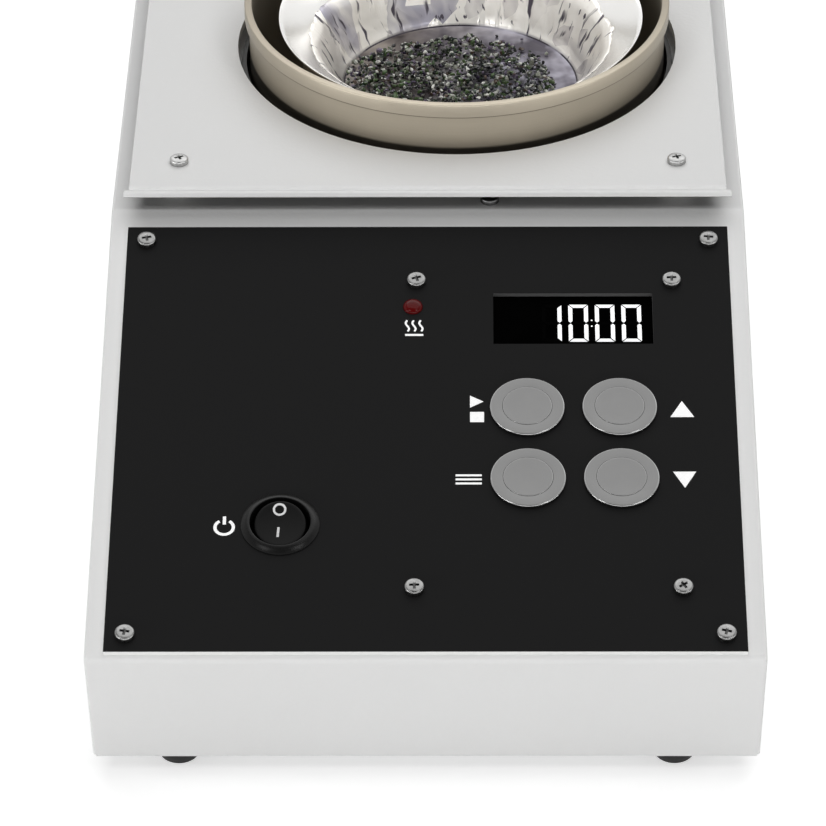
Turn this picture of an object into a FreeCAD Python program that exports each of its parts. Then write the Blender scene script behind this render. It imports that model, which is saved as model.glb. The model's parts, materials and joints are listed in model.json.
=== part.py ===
import FreeCAD, Part
import math
import os
import re

import Sketcher
from FreeCAD import Placement, Rotation, Vector

# Benchtop combustion furnace, in millimetres.
# +Z is up, +Y is the back, and the origin is the centre of the footprint on the table.

SIZES = {
    # sheet-steel case
    "case_width": 195.2,
    "front_height": 45.4,
    "front_setback": 14.4,
    "slope_angle": 15.35,
    "slope_rise": 46.5,
    "deck_depth": 182.6,
    "case_sheet": 1.5,
    "bend_radius": 2.2,
    "corner_radius": 1.0,
    "return_flange": 12.0,
    "base_sheet": 1.2,
    "base_margin": 0.8,
    "base_screw_inset": 16.0,
    "rear_sheet": 1.2,
    "rear_margin": 0.5,
    "rear_screw_inset": 12.0,
    # rubber feet
    "foot_height": 6.8,
    "foot_top_radius": 7.5,
    "foot_base_radius": 6.0,
    "foot_inset_side": 24.6,
    "foot_inset_end": 25.7,
    # pan-head screws
    "head_radius": 2.9,
    "head_height": 2.0,
    "screw_radius": 1.5,
    "head_crown": 0.55,
    "screw_clearance": 0.2,
    "thread_gap": 0.1,
    "screw_grip": 4.5,
    "screw_end": 2.0,
    # deck plate
    "plate_width": 183.6,
    "plate_overhang": 3.7,
    "plate_thickness": 3.0,
    "plate_edge_radius": 0.5,
    "lip_depth": 1.3,
    "lip_side": 1.6,
    "lip_drop": 1.05,
    "lip_radius": 0.7,
    "plate_gap": 6.5,
    "plate_screw_side": 14.8,
    "plate_screw_inset": 16.0,
    "spacer_radius": 4.5,
    # heating well
    "ring_offset": 9.0,
    "ring_rear_bias": 7.8,
    "ring_wall": 2.4,
    "ring_above_plate": 16.0,
    "ring_gap": 2.4,
    "ring_band_height": 4.7,
    "ring_band_step": 1.4,
    "ring_edge": 0.5,
    "ring_ledge_width": 20.0,
    "collar_gap": 1.2,
    "collar_wall": 1.5,
    "collar_rise": 4.1,
    "shield_side_gap": 0.9,
    "shield_front_gap": 1.2,
    "shield_wall": 1.0,
    "shield_flange": 7.2,
    "shield_depth": 48.0,
    "shield_screw_turn": 277.0,
    "insulation_wall": 9.9,
    "insulation_gap": 0.3,
    "board_thickness": 15.0,
    "insulation_drop": 7.0,
    "sleeve_inset": 17.1,
    "sleeve_wall": 1.5,
    # ceramic heater
    "former_gap": 1.9,
    "former_thickness": 20.0,
    "former_edge": 1.0,
    "groove_depth": 4.0,
    "coil_wire_radius": 1.9,
    "coil_margin": 5.6,
    "coil_inner_radius": 9.0,
    "coil_rings": 4,
    "coil_gap": 0.6,
    "post_radius": 2.5,
    "post_stud_radius": 1.2,
    "post_shoulder": 5.0,
    "post_tail": 12.0,
    "probe_radius": 1.6,
    "probe_tail": 9.0,
    "probe_gap": 1.2,
    "gland_radius": 4.6,
    "gland_height": 5.0,
    "bolt_turn": 30.0,
    "hole_gap": 0.2,
    "bolt_inset": 12.1,
    "bolt_radius": 2.0,
    "bolt_head_radius": 3.5,
    "bolt_head_height": 2.6,
    "nut_height": 3.2,
    # dish, foil and charge
    "dish_offset": 1.25,
    "dish_base_inset": 5.8,
    "dish_knee_inset": 4.2,
    "dish_rim_inset": 9.6,
    "dish_rim_drop": 6.0,
    "dish_knee_drop": 16.0,
    "dish_base_drop": 33.0,
    "dish_sheet": 0.8,
    "foil_gap": 0.3,
    "foil_sheet": 0.4,
    "foil_height": 15.5,
    "charge_gap": 0.3,
    "charge_inset": 8.0,
    "charge_height": 6.5,
    "charge_shift": 6.0,
    "seat_gap": 0.3,
    # control panel
    "panel_width": 184.0,
    "panel_length": 164.9,
    "panel_start": 1.9,
    "panel_sheet": 1.5,
    "panel_opening_margin": 10.0,
    "panel_screw_inset": 6.0,
    "module_inset": 17.8,
    "module_low": 24.7,
    "module_width": 77.5,
    "module_length": 119.3,
    # display
    "window_inset": 23.3,
    "window_low": 118.8,
    "window_width": 48.2,
    "window_height": 20.5,
    "window_lap": 3.0,
    "window_sheet": 1.5,
    "display_depth": 8.0,
    "lamp_outset": 1.0,
    "lamp_y": 133.7,
    "lamp_radius": 2.5,
    "lamp_flange_radius": 3.1,
    "lamp_height": 2.6,
    "lamp_depth": 9.0,
    # control board behind the panel
    "board_drop": 18.0,
    "board_sheet": 1.6,
    "board_margin": 4.0,
    "standoff_radius": 2.75,
    "chip_x": 10.0,
    "chip_y": 10.0,
    "chip_size": 14.0,
    "chip_height": 3.0,
    "header_x": 6.0,
    "header_y": 50.0,
    "header_width": 6.0,
    "header_length": 30.0,
    "header_height": 7.0,
    "carrier_inset": 4.0,
    # push buttons
    "button_inset": 33.2,
    "button_low": 65.6,
    "button_pitch": 27.45,
    "button_radius": 11.15,
    "button_head": 2.0,
    "button_edge": 0.7,
    "button_barrel_radius": 9.4,
    "button_depth": 13.0,
    "button_cap_radius": 7.3,
    "button_cap_rise": 0.2,
    "button_cap_height": 5.0,
    "button_cap_edge": 0.3,
    "button_travel": 1.5,
    "button_floor_gap": 0.3,
    "button_fit": 0.1,
    "nut_fit": 0.05,
    "nut_edge": 0.6,
    "button_nut_radius": 12.2,
    "button_nut_height": 3.0,
    # round rocker switch
    "switch_x": -42.5,
    "switch_y": 48.6,
    "switch_radius": 11.5,
    "switch_bezel": 1.6,
    "switch_opening": 8.85,
    "switch_body_radius": 9.9,
    "switch_depth": 19.0,
    "rocker_radius": 7.7,
    "rocker_tilt": 10.0,
    "rocker_rise": 2.6,
    "rocker_dip": 0.9,
    "rocker_skirt": 3.6,
    "rocker_floor_gap": 3.0,
    "spade_width": 4.8,
    "spade_sheet": 0.8,
    "spade_pitch": 6.0,
    "spade_length": 8.0,
    "pivot_drop": 1.2,
    "pivot_radius": 0.9,
    "pivot_reach": 0.5,
    "pivot_fit": 0.05,
    # power board on the base
    "power_width": 110.0,
    "power_length": 78.0,
    "power_y": -72.0,
    "power_lift": 8.0,
    "power_inset": 5.0,
    "transformer_width": 42.0,
    "transformer_length": 36.0,
    "transformer_height": 24.0,
    "transformer_inset": 12.0,
    "bobbin_margin": 8.0,
    "relay_width": 30.0,
    "relay_length": 20.0,
    "relay_height": 16.0,
    "relay_inset": 14.0,
    "relay_shift": 4.0,
    "relay_edge": 0.8,
    "terminal_pitch": 7.5,
    "terminal_ways": 4,
    "terminal_depth": 12.0,
    "terminal_height": 11.0,
    "terminal_inset": 10.0,
    # power inlet in the rear panel
    "inlet_inset": 39.6,
    "inlet_rise": 26.0,
    "inlet_width": 27.0,
    "inlet_height": 19.8,
    "inlet_flange_width": 50.0,
    "inlet_flange_height": 22.5,
    "inlet_flange_thickness": 2.6,
    "inlet_ear": 4.0,
    "inlet_corner": 4.0,
    "inlet_depth": 20.0,
    "inlet_wall": 1.5,
    "inlet_socket_depth": 15.0,
    "inlet_screw_spacing": 40.0,
    "pin_pitch": 7.0,
    "pin_earth_shift": 4.0,
    "pin_width": 2.0,
    "pin_height": 4.0,
    "pin_reach": 11.0,
    # ventilation slots
    "slot_width": 3.0,
    "slot_pitch": 7.0,
    "rear_slot_length": 36.0,
    "rear_slot_count": 12,
    "rear_slot_x": -6.0,
    "base_slot_length": 44.0,
    "base_slot_count": 9,
}

# Sizes that follow from the ones above
DERIVED = {
    "half_width": "case_width / 2",
    "slope_run": "slope_rise / tan(slope_angle)",
    "case_depth": "slope_run + deck_depth",
    "rear_reach": "inlet_flange_thickness + head_height",
    "front_y": "-0.5 * (case_depth + rear_reach + bend_trim)",
    "rear_y": "front_y + case_depth",
    "deck_y": "front_y + slope_run",
    "case_rear_y": "rear_y - rear_sheet",
    "case_bottom": "foot_height + base_sheet",
    "bend_level": "case_bottom + front_height",
    "deck_level": "bend_level + slope_rise",
    "front_lean": "front_setback / front_height",
    "bend_factor": "(front_lean / cos(slope_angle) + sqrt(1 + front_lean * front_lean))"
                   " / (1 + front_lean * tan(slope_angle))",
    "bend_trim": "bend_radius * (bend_factor - 1)",
    "inner_bend_y": "front_y + case_sheet * bend_factor",
    "inner_bend_z": "bend_level + (inner_bend_y - front_y) * tan(slope_angle)"
                    " - case_sheet / cos(slope_angle)",
    "inner_deck_y": "deck_y + case_sheet * (1 / cos(slope_angle) - 1) / tan(slope_angle)",
    "plate_bottom": "deck_level + plate_gap",
    "plate_top": "plate_bottom + plate_thickness",
    "plate_front": "deck_y - plate_overhang",
    "ring_behind_bend": "(deck_depth - ring_rear_bias) / 2",
    "shield_outer": "min(half_width - case_sheet - ring_offset - shield_side_gap,"
                    " ring_behind_bend - shield_front_gap)",
    "shield_radius": "shield_outer - shield_flange",
    "ring_radius": "shield_radius - shield_wall - insulation_wall",
    "ring_body": "ring_radius - ring_band_step",
    "collar_radius": "ring_body + collar_gap",
    "sleeve_radius": "ring_radius - sleeve_inset",
    "former_radius": "sleeve_radius - sleeve_wall - former_gap",
    "coil_pitch": "(former_radius - coil_margin - coil_inner_radius) / (coil_rings - 1)",
    "bolt_circle": "ring_radius - bolt_inset",
    "dish_rim_radius": "ring_radius - dish_rim_inset",
    "dish_knee_radius": "sleeve_radius - dish_knee_inset",
    "dish_base_radius": "dish_knee_radius - dish_base_inset",
    "charge_radius": "dish_base_radius - charge_inset",
    "hole_radius": "ring_radius + ring_gap",
    "plate_length": "2 * (well_y - plate_front)",
    "well_y": "deck_y + ring_behind_bend",
    "ring_top": "plate_top + ring_above_plate",
    "shield_top": "deck_level - case_sheet",
    "shield_bottom": "shield_top - shield_depth",
    "board_bottom": "shield_bottom + shield_wall",
    "board_top": "board_bottom + board_thickness",
    "ledge_top": "board_top + ring_wall",
    "dish_bottom": "ring_top - dish_base_drop",
    "flare": "(dish_knee_drop - dish_rim_drop) / (dish_rim_radius - dish_knee_radius)",
    "post_circle": "coil_inner_radius + coil_pitch * (coil_rings - 1)",
    "dish_floor": "dish_bottom + dish_sheet",
    "dish_knee": "ring_top - dish_knee_drop",
    "dish_rim": "ring_top - dish_rim_drop",
    "button_hole": "button_barrel_radius + screw_clearance",
    "board_face": "-1 * board_drop",
    "power_level": "case_bottom + power_lift",
    "power_top": "power_level + board_sheet",
    "module_left": "panel_width / 2 - module_inset - module_width",
    "window_left": "module_left + window_inset",
    "button_left": "module_left + button_inset",
    "lamp_x": "module_left - lamp_outset",
    "inlet_x": "inlet_inset - half_width",
    "inlet_z": "case_bottom + inlet_rise",
    "inlet_face": "rear_y + inlet_flange_thickness",
    "shield_screw_circle": "shield_radius + shield_flange * 0.6",
    "plate_screw_x": "plate_width / 2 - plate_screw_side",
    "plate_screw_y": "plate_front + plate_screw_inset",
    "plate_screw_run": "plate_length - 2 * plate_screw_inset",
    "panel_screw_x": "panel_width / 2 - panel_screw_inset",
    "panel_screw_y": "panel_start + panel_screw_inset",
    "panel_screw_run": "panel_length - 2 * panel_screw_inset",
    "base_screw_x": "half_width - return_flange * 0.6",
    "base_screw_front": "front_y + front_setback + base_screw_inset",
    "base_screw_rear": "case_rear_y - base_screw_inset",
    "rear_screw_x": "half_width - return_flange * 0.6",
    "rear_screw_low": "case_bottom + rear_screw_inset",
    "rear_screw_high": "deck_level - rear_screw_inset",
    "foot_x": "half_width - foot_inset_side",
    "foot_front_y": "front_y + foot_inset_end",
    "foot_rear_y": "rear_y - foot_inset_end * 0.7",
    "foot_recess": "foot_height * 0.55",
    "power_low_y": "power_y - power_length / 2 + power_inset",
    "power_run": "power_length - 2 * power_inset",
    "former_top": "board_top + former_thickness",
    "charge_bottom": "dish_floor + foil_gap + foil_sheet + charge_gap",
    "button_face": "panel_sheet + button_head",
    "pivot_level": "panel_sheet - pivot_drop",
    "switch_floor": "pivot_level - rocker_skirt - rocker_floor_gap",
}

NAME = re.compile(r"[a-z][a-z_]*[a-z]")
doc = FreeCAD.newDocument("combustion_furnace")
sheet = doc.addObject("Spreadsheet::Sheet", "Sizes")
for row, (alias, size) in enumerate(SIZES.items(), start=1):
    sheet.set(f"A{row}", alias)
    sheet.set(f"B{row}", str(size))
    sheet.setAlias(f"B{row}", alias)
doc.recompute()

parts = []


def formula(text):
    """Spell a size out as a spreadsheet formula, with its derived sizes written in full."""
    def word(match):
        name = match.group()
        if name in SIZES:
            return "Sizes." + name
        if name in DERIVED:
            return "(" + formula(DERIVED[name]) + ")"
        return name
    return NAME.sub(word, str(text))


def value(text):
    """The number that a formula has now."""
    return float(sheet.evalExpression(formula(text)))


def bind(thing, path, text):
    """Tie one property of an object to the sizes."""
    thing.setExpression(path, formula(text))


def place(thing, x="0", y="0", z="0", tilt=None, about=Vector(1, 0, 0), path="Placement"):
    """Bind a placement: a shift, and a turn about one axis."""
    turned_by = Rotation(about, value(tilt) if tilt else 0)
    setattr(thing, path, Placement(Vector(value(x), value(y), value(z)), turned_by))
    for axis, shift in zip("xyz", (x, y, z)):
        if value(shift):
            bind(thing, f"{path}.Base.{axis}", shift)
    if tilt:
        bind(thing, f"{path}.Rotation.Angle", tilt)


def sketch_on(body, plane, name, y="0", z="0", tilt=None):
    """A sketch on one of the body's own origin planes, shifted in the plane's own axes."""
    sketch = body.newObject("Sketcher::SketchObject", name)
    support = next(item for item in body.Origin.OriginFeatures if item.Role == plane)
    sketch.AttachmentSupport = [(support, "")]
    sketch.MapMode = "FlatFace"
    place(sketch, y=y, z=z, tilt=tilt, path="AttachmentOffset")
    return sketch


def hold(sketch, edge, point, x, y):
    """Fix one point of a sketch by its distances from the origin."""
    for kind, distance in (("DistanceX", x), ("DistanceY", y)):
        index = sketch.addConstraint(Sketcher.Constraint(kind, -1, 1, edge, point, value(distance)))
        bind(sketch, f"Constraints[{index}]", distance)


def outline(sketch, corners):
    """A closed outline of straight lines."""
    first = sketch.GeometryCount
    points = [Vector(value(x), value(y), 0) for x, y in corners]
    for start, end in zip(points, points[1:] + points[:1]):
        sketch.addGeometry(Part.LineSegment(start, end), False)
    for number, (x, y) in enumerate(corners):
        before = first + (number - 1) % len(corners)
        sketch.addConstraint(Sketcher.Constraint("Coincident", before, 2, first + number, 1))
        hold(sketch, first + number, 1, x, y)


def rectangle(sketch, left, low, right, high):
    outline(sketch, [(left, low), (right, low), (right, high), (left, high)])


def circle(sketch, x, y, radius):
    centre = Vector(value(x), value(y), 0)
    edge = sketch.addGeometry(Part.Circle(centre, Vector(0, 0, 1), value(radius)), False)
    hold(sketch, edge, 3, x, y)
    index = sketch.addConstraint(Sketcher.Constraint("Radius", edge, value(radius)))
    bind(sketch, f"Constraints[{index}]", radius)


def new_body(label):
    body = doc.addObject("PartDesign::Body", label)
    body.Label = label
    parts.append(body)
    return body


def pad(body, sketch, length, both_ways=False):
    feature = body.newObject("PartDesign::Pad", sketch.Name + "_pad")
    feature.Profile = sketch
    feature.SideType = "Symmetric" if both_ways else "One side"
    bind(feature, "Length", length)
    body.Tip = feature
    return feature


def pocket(body, sketch, depth, both_ways=False, reversed_way=False):
    """Cut a sketch's profile into the body, and check that it removed something."""
    doc.recompute()
    before = body.Shape.Volume
    feature = body.newObject("PartDesign::Pocket", sketch.Name + "_cut")
    feature.Profile = sketch
    feature.SideType = "Symmetric" if both_ways else "One side"
    feature.Reversed = reversed_way
    bind(feature, "Length", depth)
    body.Tip = feature
    doc.recompute()
    if body.Shape.Volume > before - 1e-4:
        raise RuntimeError(f"{feature.Name} cuts nothing")
    return feature


def turn(body, sketch, axis="V_Axis"):
    """Turn a profile about one of the sketch's own axes."""
    feature = body.newObject("PartDesign::Revolution", sketch.Name + "_turned")
    feature.Profile = sketch
    feature.ReferenceAxis = (sketch, [axis])
    feature.Angle = 360
    body.Tip = feature
    return feature


def dress(body, kind, edges, size, name):
    """A fillet or chamfer on the edges that a test picks out of the body's shape."""
    doc.recompute()
    base = body.Tip
    names = [f"Edge{n}" for n, edge in enumerate(base.Shape.Edges, start=1) if edges(edge)]
    feature = body.newObject(f"PartDesign::{kind}", name)
    feature.Base = (base, names)
    bind(feature, "Radius" if kind == "Fillet" else "Size", size)
    body.Tip = feature
    return feature


def axis_of(body, letter):
    return next(item for item in body.Origin.OriginFeatures if item.Role == f"{letter}_Axis")


def repeat(body, feature, way, length, count, second=None):
    """Repeat a feature along one axis of the body, or along two."""
    pattern = body.newObject("PartDesign::LinearPattern", feature.Name + "_row")
    pattern.Originals = [feature]
    pattern.Direction = (axis_of(body, way), [""])
    bind(pattern, "Length", length)
    bind(pattern, "Occurrences", count)
    if second:
        pattern.Direction2 = (axis_of(body, second[0]), [""])
        bind(pattern, "Length2", second[1])
        bind(pattern, "Occurrences2", second[2])
    body.Tip = pattern
    return pattern


def turned(label, profile):
    """A round piece from its half profile, as (radius, height) corners."""
    body = new_body(label)
    sketch = sketch_on(body, "XZ_Plane", label + "_profile")
    outline(sketch, profile)
    turn(body, sketch)
    return body


def to_panel(body, x="0", y="0", z="0", extra_tilt=None):
    """Seat a piece on the slope: x across, y up the slope, z out of it."""
    tilt = "slope_angle" if extra_tilt is None else f"slope_angle + {extra_tilt}"
    place(
        body,
        x=x,
        y=f"front_y + ({y}) * cos(slope_angle) - ({z}) * sin(slope_angle)",
        z=f"bend_level + ({y}) * sin(slope_angle) + ({z}) * cos(slope_angle)",
        tilt=tilt,
    )


def to_well(body, x="0", z="0"):
    """Centre a piece on the heating well."""
    place(body, x=f"ring_offset + {x}", y="well_y", z=z)


def fasteners(label, profile, across, along):
    """Four equal turned fasteners at the corners of a rectangle, the first at its low corner."""
    body = turned(label, profile)
    repeat(body, body.Tip, "X", across, "2", ("Y", along, "2"))
    return body


def fastener_circle(label, profile, circle_radius, spin):
    """Three equal turned fasteners on a circle, the first at the angle spin."""
    body = new_body(label)
    sketch = sketch_on(body, "XZ_Plane", label + "_profile")
    corners = [(f"{circle_radius} + {radius}", height) for radius, height in profile]
    outline(sketch, corners)
    low, high = corners[0], corners[-1]
    axis = sketch.addGeometry(Part.LineSegment(
        Vector(value(low[0]), value(low[1]), 0), Vector(value(high[0]), value(high[1]), 0)), True)
    hold(sketch, axis, 1, *low)
    hold(sketch, axis, 2, *high)
    one = turn(body, sketch, "Axis0")
    pattern = body.newObject("PartDesign::PolarPattern", label + "_ring")
    pattern.Originals = [one]
    pattern.Axis = (axis_of(body, "Z"), [""])
    pattern.Angle = 360
    pattern.Occurrences = 3
    body.Tip = pattern
    place(body, x="ring_offset", y="well_y", tilt=spin, about=Vector(0, 0, 1))
    return body


def pan_screw(seat, grip):
    """Half profile of a pan-head screw whose head stands on the height seat."""
    crown = f"{seat} + head_height"
    return [
        ("0", f"{seat} - ({grip})"),
        ("screw_radius", f"{seat} - ({grip})"),
        ("screw_radius", seat),
        ("head_radius", seat),
        ("head_radius", f"{seat} + head_height * 0.45"),
        ("head_radius * 0.86", f"{seat} + head_height * 0.85"),
        ("head_radius * head_crown", crown),
        ("0", crown),
    ]


def screw_up(seat, grip):
    """Half profile of a pan-head screw driven upwards, its head hanging from the height seat."""
    low = f"({seat}) - head_height"
    return [
        ("0", low),
        ("head_radius * head_crown", low),
        ("head_radius", f"({seat}) - head_height * 0.45"),
        ("head_radius", seat),
        ("screw_radius", seat),
        ("screw_radius", f"({seat}) + ({grip})"),
        ("0", f"({seat}) + ({grip})"),
    ]


def screws_forward(label, seat, grip, across, up=None):
    """Pan-head screws driven towards the front: two in a row, or four at a rectangle's corners."""
    body = new_body(label)
    sketch = sketch_on(body, "YZ_Plane", label + "_profile")
    outline(sketch, [
        (f"{seat} - ({grip})", "0"),
        (f"{seat} - ({grip})", "screw_radius"),
        (seat, "screw_radius"),
        (seat, "head_radius"),
        (f"{seat} + head_height * 0.45", "head_radius"),
        (f"{seat} + head_height", "head_radius * head_crown"),
        (f"{seat} + head_height", "0"),
    ])
    screw = turn(body, sketch, "H_Axis")
    repeat(body, screw, "X", across, "2", ("Z", up, "2") if up else None)
    return body


# Case

def case_shell():
    """Front, slope, deck and sides folded from one sheet and welded, open below and behind."""
    body = new_body("case_shell")
    side = sketch_on(body, "YZ_Plane", "case_side")
    outline(side, [
        ("front_y + front_setback", "case_bottom"),
        ("front_y", "bend_level"),
        ("deck_y", "deck_level"),
        ("case_rear_y", "deck_level"),
        ("case_rear_y", "case_bottom"),
    ])
    pad(body, side, "case_width", both_ways=True)
    hollow = sketch_on(body, "YZ_Plane", "case_hollow")
    outline(hollow, [
        ("inner_bend_y + front_lean * (inner_bend_z - case_bottom + 1)", "case_bottom - 1"),
        ("inner_bend_y", "inner_bend_z"),
        ("inner_deck_y", "deck_level - case_sheet"),
        ("case_rear_y + 1", "deck_level - case_sheet"),
        ("case_rear_y + 1", "case_bottom - 1"),
    ])
    pocket(body, hollow, "case_width - 2 * case_sheet", both_ways=True)
    bends = [(value(y), value(z)) for y, z in (("front_y", "bend_level"), ("deck_y", "deck_level"))]

    def folded(edge):
        centre = edge.CenterOfMass
        return any(math.hypot(centre.y - y, centre.z - z) < 1e-3 for y, z in bends)

    dress(body, "Fillet", folded, "bend_radius", "case_bends")

    def welded(edge):
        centre = edge.CenterOfMass
        on_side = abs(abs(centre.x) - value("half_width")) < 1e-3
        return on_side and centre.z > value("case_bottom") + 1 and centre.y < value("case_rear_y") - 1

    dress(body, "Fillet", welded, "corner_radius", "case_corners")
    case_flanges(body)
    case_cutouts(body)


def case_flanges(body):
    """Inward return flanges: two along the bottom, two down the back."""
    inner = "half_width - case_sheet * 0.5"
    lip = "half_width - return_flange"
    below = sketch_on(body, "XY_Plane", "bottom_flanges", z="case_bottom")
    front = "front_y + front_setback + 6"
    rectangle(below, f"-1 * ({inner})", front, f"-1 * ({lip})", "case_rear_y")
    rectangle(below, lip, front, inner, "case_rear_y")
    pad(body, below, "case_sheet")
    behind = sketch_on(body, "XZ_Plane", "rear_flanges", z="-1 * case_rear_y")
    high = "deck_level - case_sheet * 0.5"
    rectangle(behind, f"-1 * ({inner})", "case_bottom", f"-1 * ({lip})", high)
    rectangle(behind, lip, "case_bottom", inner, high)
    pad(body, behind, "case_sheet")


def case_cutouts(body):
    """Openings for the control module and the well, the well's low collar, and every screw hole."""
    slope = sketch_on(body, "XY_Plane", "slope_openings", y="front_y", z="bend_level", tilt="slope_angle")
    edge = "panel_width / 2 - panel_opening_margin"
    low = "panel_start + panel_opening_margin"
    high = "panel_start + panel_length - panel_opening_margin"
    rectangle(slope, f"-1 * ({edge})", low, edge, high)
    hole = "screw_radius + screw_clearance"
    for x in ("-1 * panel_screw_x", "panel_screw_x"):
        for y in ("panel_screw_y", "panel_screw_y + panel_screw_run"):
            circle(slope, x, y, hole)
    pocket(body, slope, "case_sheet * 3")
    collar = sketch_on(body, "XY_Plane", "deck_collar", z="deck_level")
    circle(collar, "ring_offset", "well_y", "collar_radius")
    circle(collar, "ring_offset", "well_y", "collar_radius + collar_wall")
    pad(body, collar, "collar_rise")
    deck = sketch_on(body, "XY_Plane", "deck_openings", z="deck_level")
    circle(deck, "ring_offset", "well_y", "collar_radius")
    for x in ("-1 * plate_screw_x", "plate_screw_x"):
        for y in ("plate_screw_y", "plate_screw_y + plate_screw_run"):
            circle(deck, x, y, hole)
    for number in range(3):
        angle = f"shield_screw_turn + {120 * number}"
        x = f"ring_offset + shield_screw_circle * cos({angle})"
        y = f"well_y + shield_screw_circle * sin({angle})"
        circle(deck, x, y, hole)
    pocket(body, deck, "case_sheet * 2")
    base = sketch_on(body, "XY_Plane", "base_screw_holes", z="case_bottom")
    for x in ("-1 * base_screw_x", "base_screw_x"):
        for y in ("base_screw_front", "base_screw_rear"):
            circle(base, x, y, hole)
    pocket(body, base, "case_sheet", reversed_way=True)
    rear = sketch_on(body, "XZ_Plane", "rear_screw_holes", z="-1 * case_rear_y")
    for x in ("-1 * rear_screw_x", "rear_screw_x"):
        for y in ("rear_screw_low", "rear_screw_high"):
            circle(rear, x, y, hole)
    pocket(body, rear, "case_sheet", reversed_way=True)


def base_plate():
    body = new_body("base_plate")
    sketch = sketch_on(body, "XY_Plane", "base_outline", z="foot_height")
    side = "half_width - base_margin"
    front = "front_y + front_setback + base_margin"
    rectangle(sketch, f"-1 * ({side})", front, side, "case_rear_y - base_margin")
    hole = "screw_radius + screw_clearance"
    for x in ("-1 * base_screw_x", "base_screw_x"):
        for y in ("base_screw_front", "base_screw_rear"):
            circle(sketch, x, y, hole)
    for x in ("-1 * foot_x", "foot_x"):
        for y in ("foot_front_y", "foot_rear_y"):
            circle(sketch, x, y, hole)
    pad(body, sketch, "base_sheet")
    slot = sketch_on(body, "XY_Plane", "base_slot", z="case_bottom")
    start = "-0.5 * slot_pitch * (base_slot_count - 1)"
    low = "well_y - base_slot_length / 2"
    high = f"{low} + base_slot_length"
    rectangle(slot, f"{start} - slot_width / 2", low, f"{start} + slot_width / 2", high)
    cut = pocket(body, slot, "base_sheet * 2")
    repeat(body, cut, "X", "slot_pitch * (base_slot_count - 1)", "base_slot_count")


def rear_panel():
    """Flat rear panel with the inlet's cut-out and a row of ventilation slots."""
    body = new_body("rear_panel")
    sketch = sketch_on(body, "XZ_Plane", "rear_outline", z="-1 * rear_y")
    side = "half_width - rear_margin"
    rectangle(sketch, f"-1 * ({side})", "case_bottom + rear_margin", side, "deck_level - rear_margin")
    gap = "screw_clearance"
    rectangle(
        sketch,
        f"inlet_x - inlet_width / 2 - {gap}",
        f"inlet_z - inlet_height / 2 - {gap}",
        f"inlet_x + inlet_width / 2 + {gap}",
        f"inlet_z + inlet_height / 2 + {gap}",
    )
    hole = "screw_radius + screw_clearance"
    for x in ("-1 * rear_screw_x", "rear_screw_x"):
        for y in ("rear_screw_low", "rear_screw_high"):
            circle(sketch, x, y, hole)
    for x in ("inlet_x - inlet_screw_spacing / 2", "inlet_x + inlet_screw_spacing / 2"):
        circle(sketch, x, "inlet_z", hole)
    pad(body, sketch, "rear_sheet")
    slot = sketch_on(body, "XZ_Plane", "rear_slot", z="-1 * rear_y")
    low = "(case_bottom + deck_level - rear_slot_length) / 2"
    rectangle(slot, "rear_slot_x", low, "rear_slot_x + slot_width", f"{low} + rear_slot_length")
    cut = pocket(body, slot, "rear_sheet * 2", reversed_way=True)
    repeat(body, cut, "X", "slot_pitch * (rear_slot_count - 1)", "rear_slot_count")


def feet():
    """Four rubber feet, tapered, with a recess for the screw's head."""
    profile = [
        ("screw_radius + screw_clearance", "foot_recess"),
        ("foot_base_radius * 0.6", "foot_recess"),
        ("foot_base_radius * 0.6", "0"),
        ("foot_base_radius * 0.9", "0"),
        ("foot_base_radius", "foot_height * 0.12"),
        ("foot_top_radius", "foot_height * 0.8"),
        ("foot_top_radius", "foot_height"),
        ("screw_radius + screw_clearance", "foot_height"),
    ]
    for end, y in (("front", "foot_front_y"), ("rear", "foot_rear_y")):
        for side, x in (("left", "-1 * foot_x"), ("right", "foot_x")):
            body = turned(f"foot_{end}_{side}", profile)
            place(body, x=x, y=y)


def case_fasteners():
    grip = "foot_height - foot_recess + base_sheet + screw_end"
    foot = fasteners("foot_screws", screw_up("foot_recess", grip), "2 * foot_x", "foot_rear_y - foot_front_y")
    place(foot, x="-1 * foot_x", y="foot_front_y")
    grip = "base_sheet + case_sheet + screw_end"
    run = "base_screw_rear - base_screw_front"
    base = fasteners("base_screws", screw_up("foot_height", grip), "2 * base_screw_x", run)
    place(base, x="-1 * base_screw_x", y="base_screw_front")
    grip = "rear_sheet + case_sheet + screw_end"
    rear = screws_forward(
        "rear_screws", "rear_y", grip, "2 * rear_screw_x", "rear_screw_high - rear_screw_low"
    )
    place(rear, x="-1 * rear_screw_x", z="rear_screw_low")


# Deck plate

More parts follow.
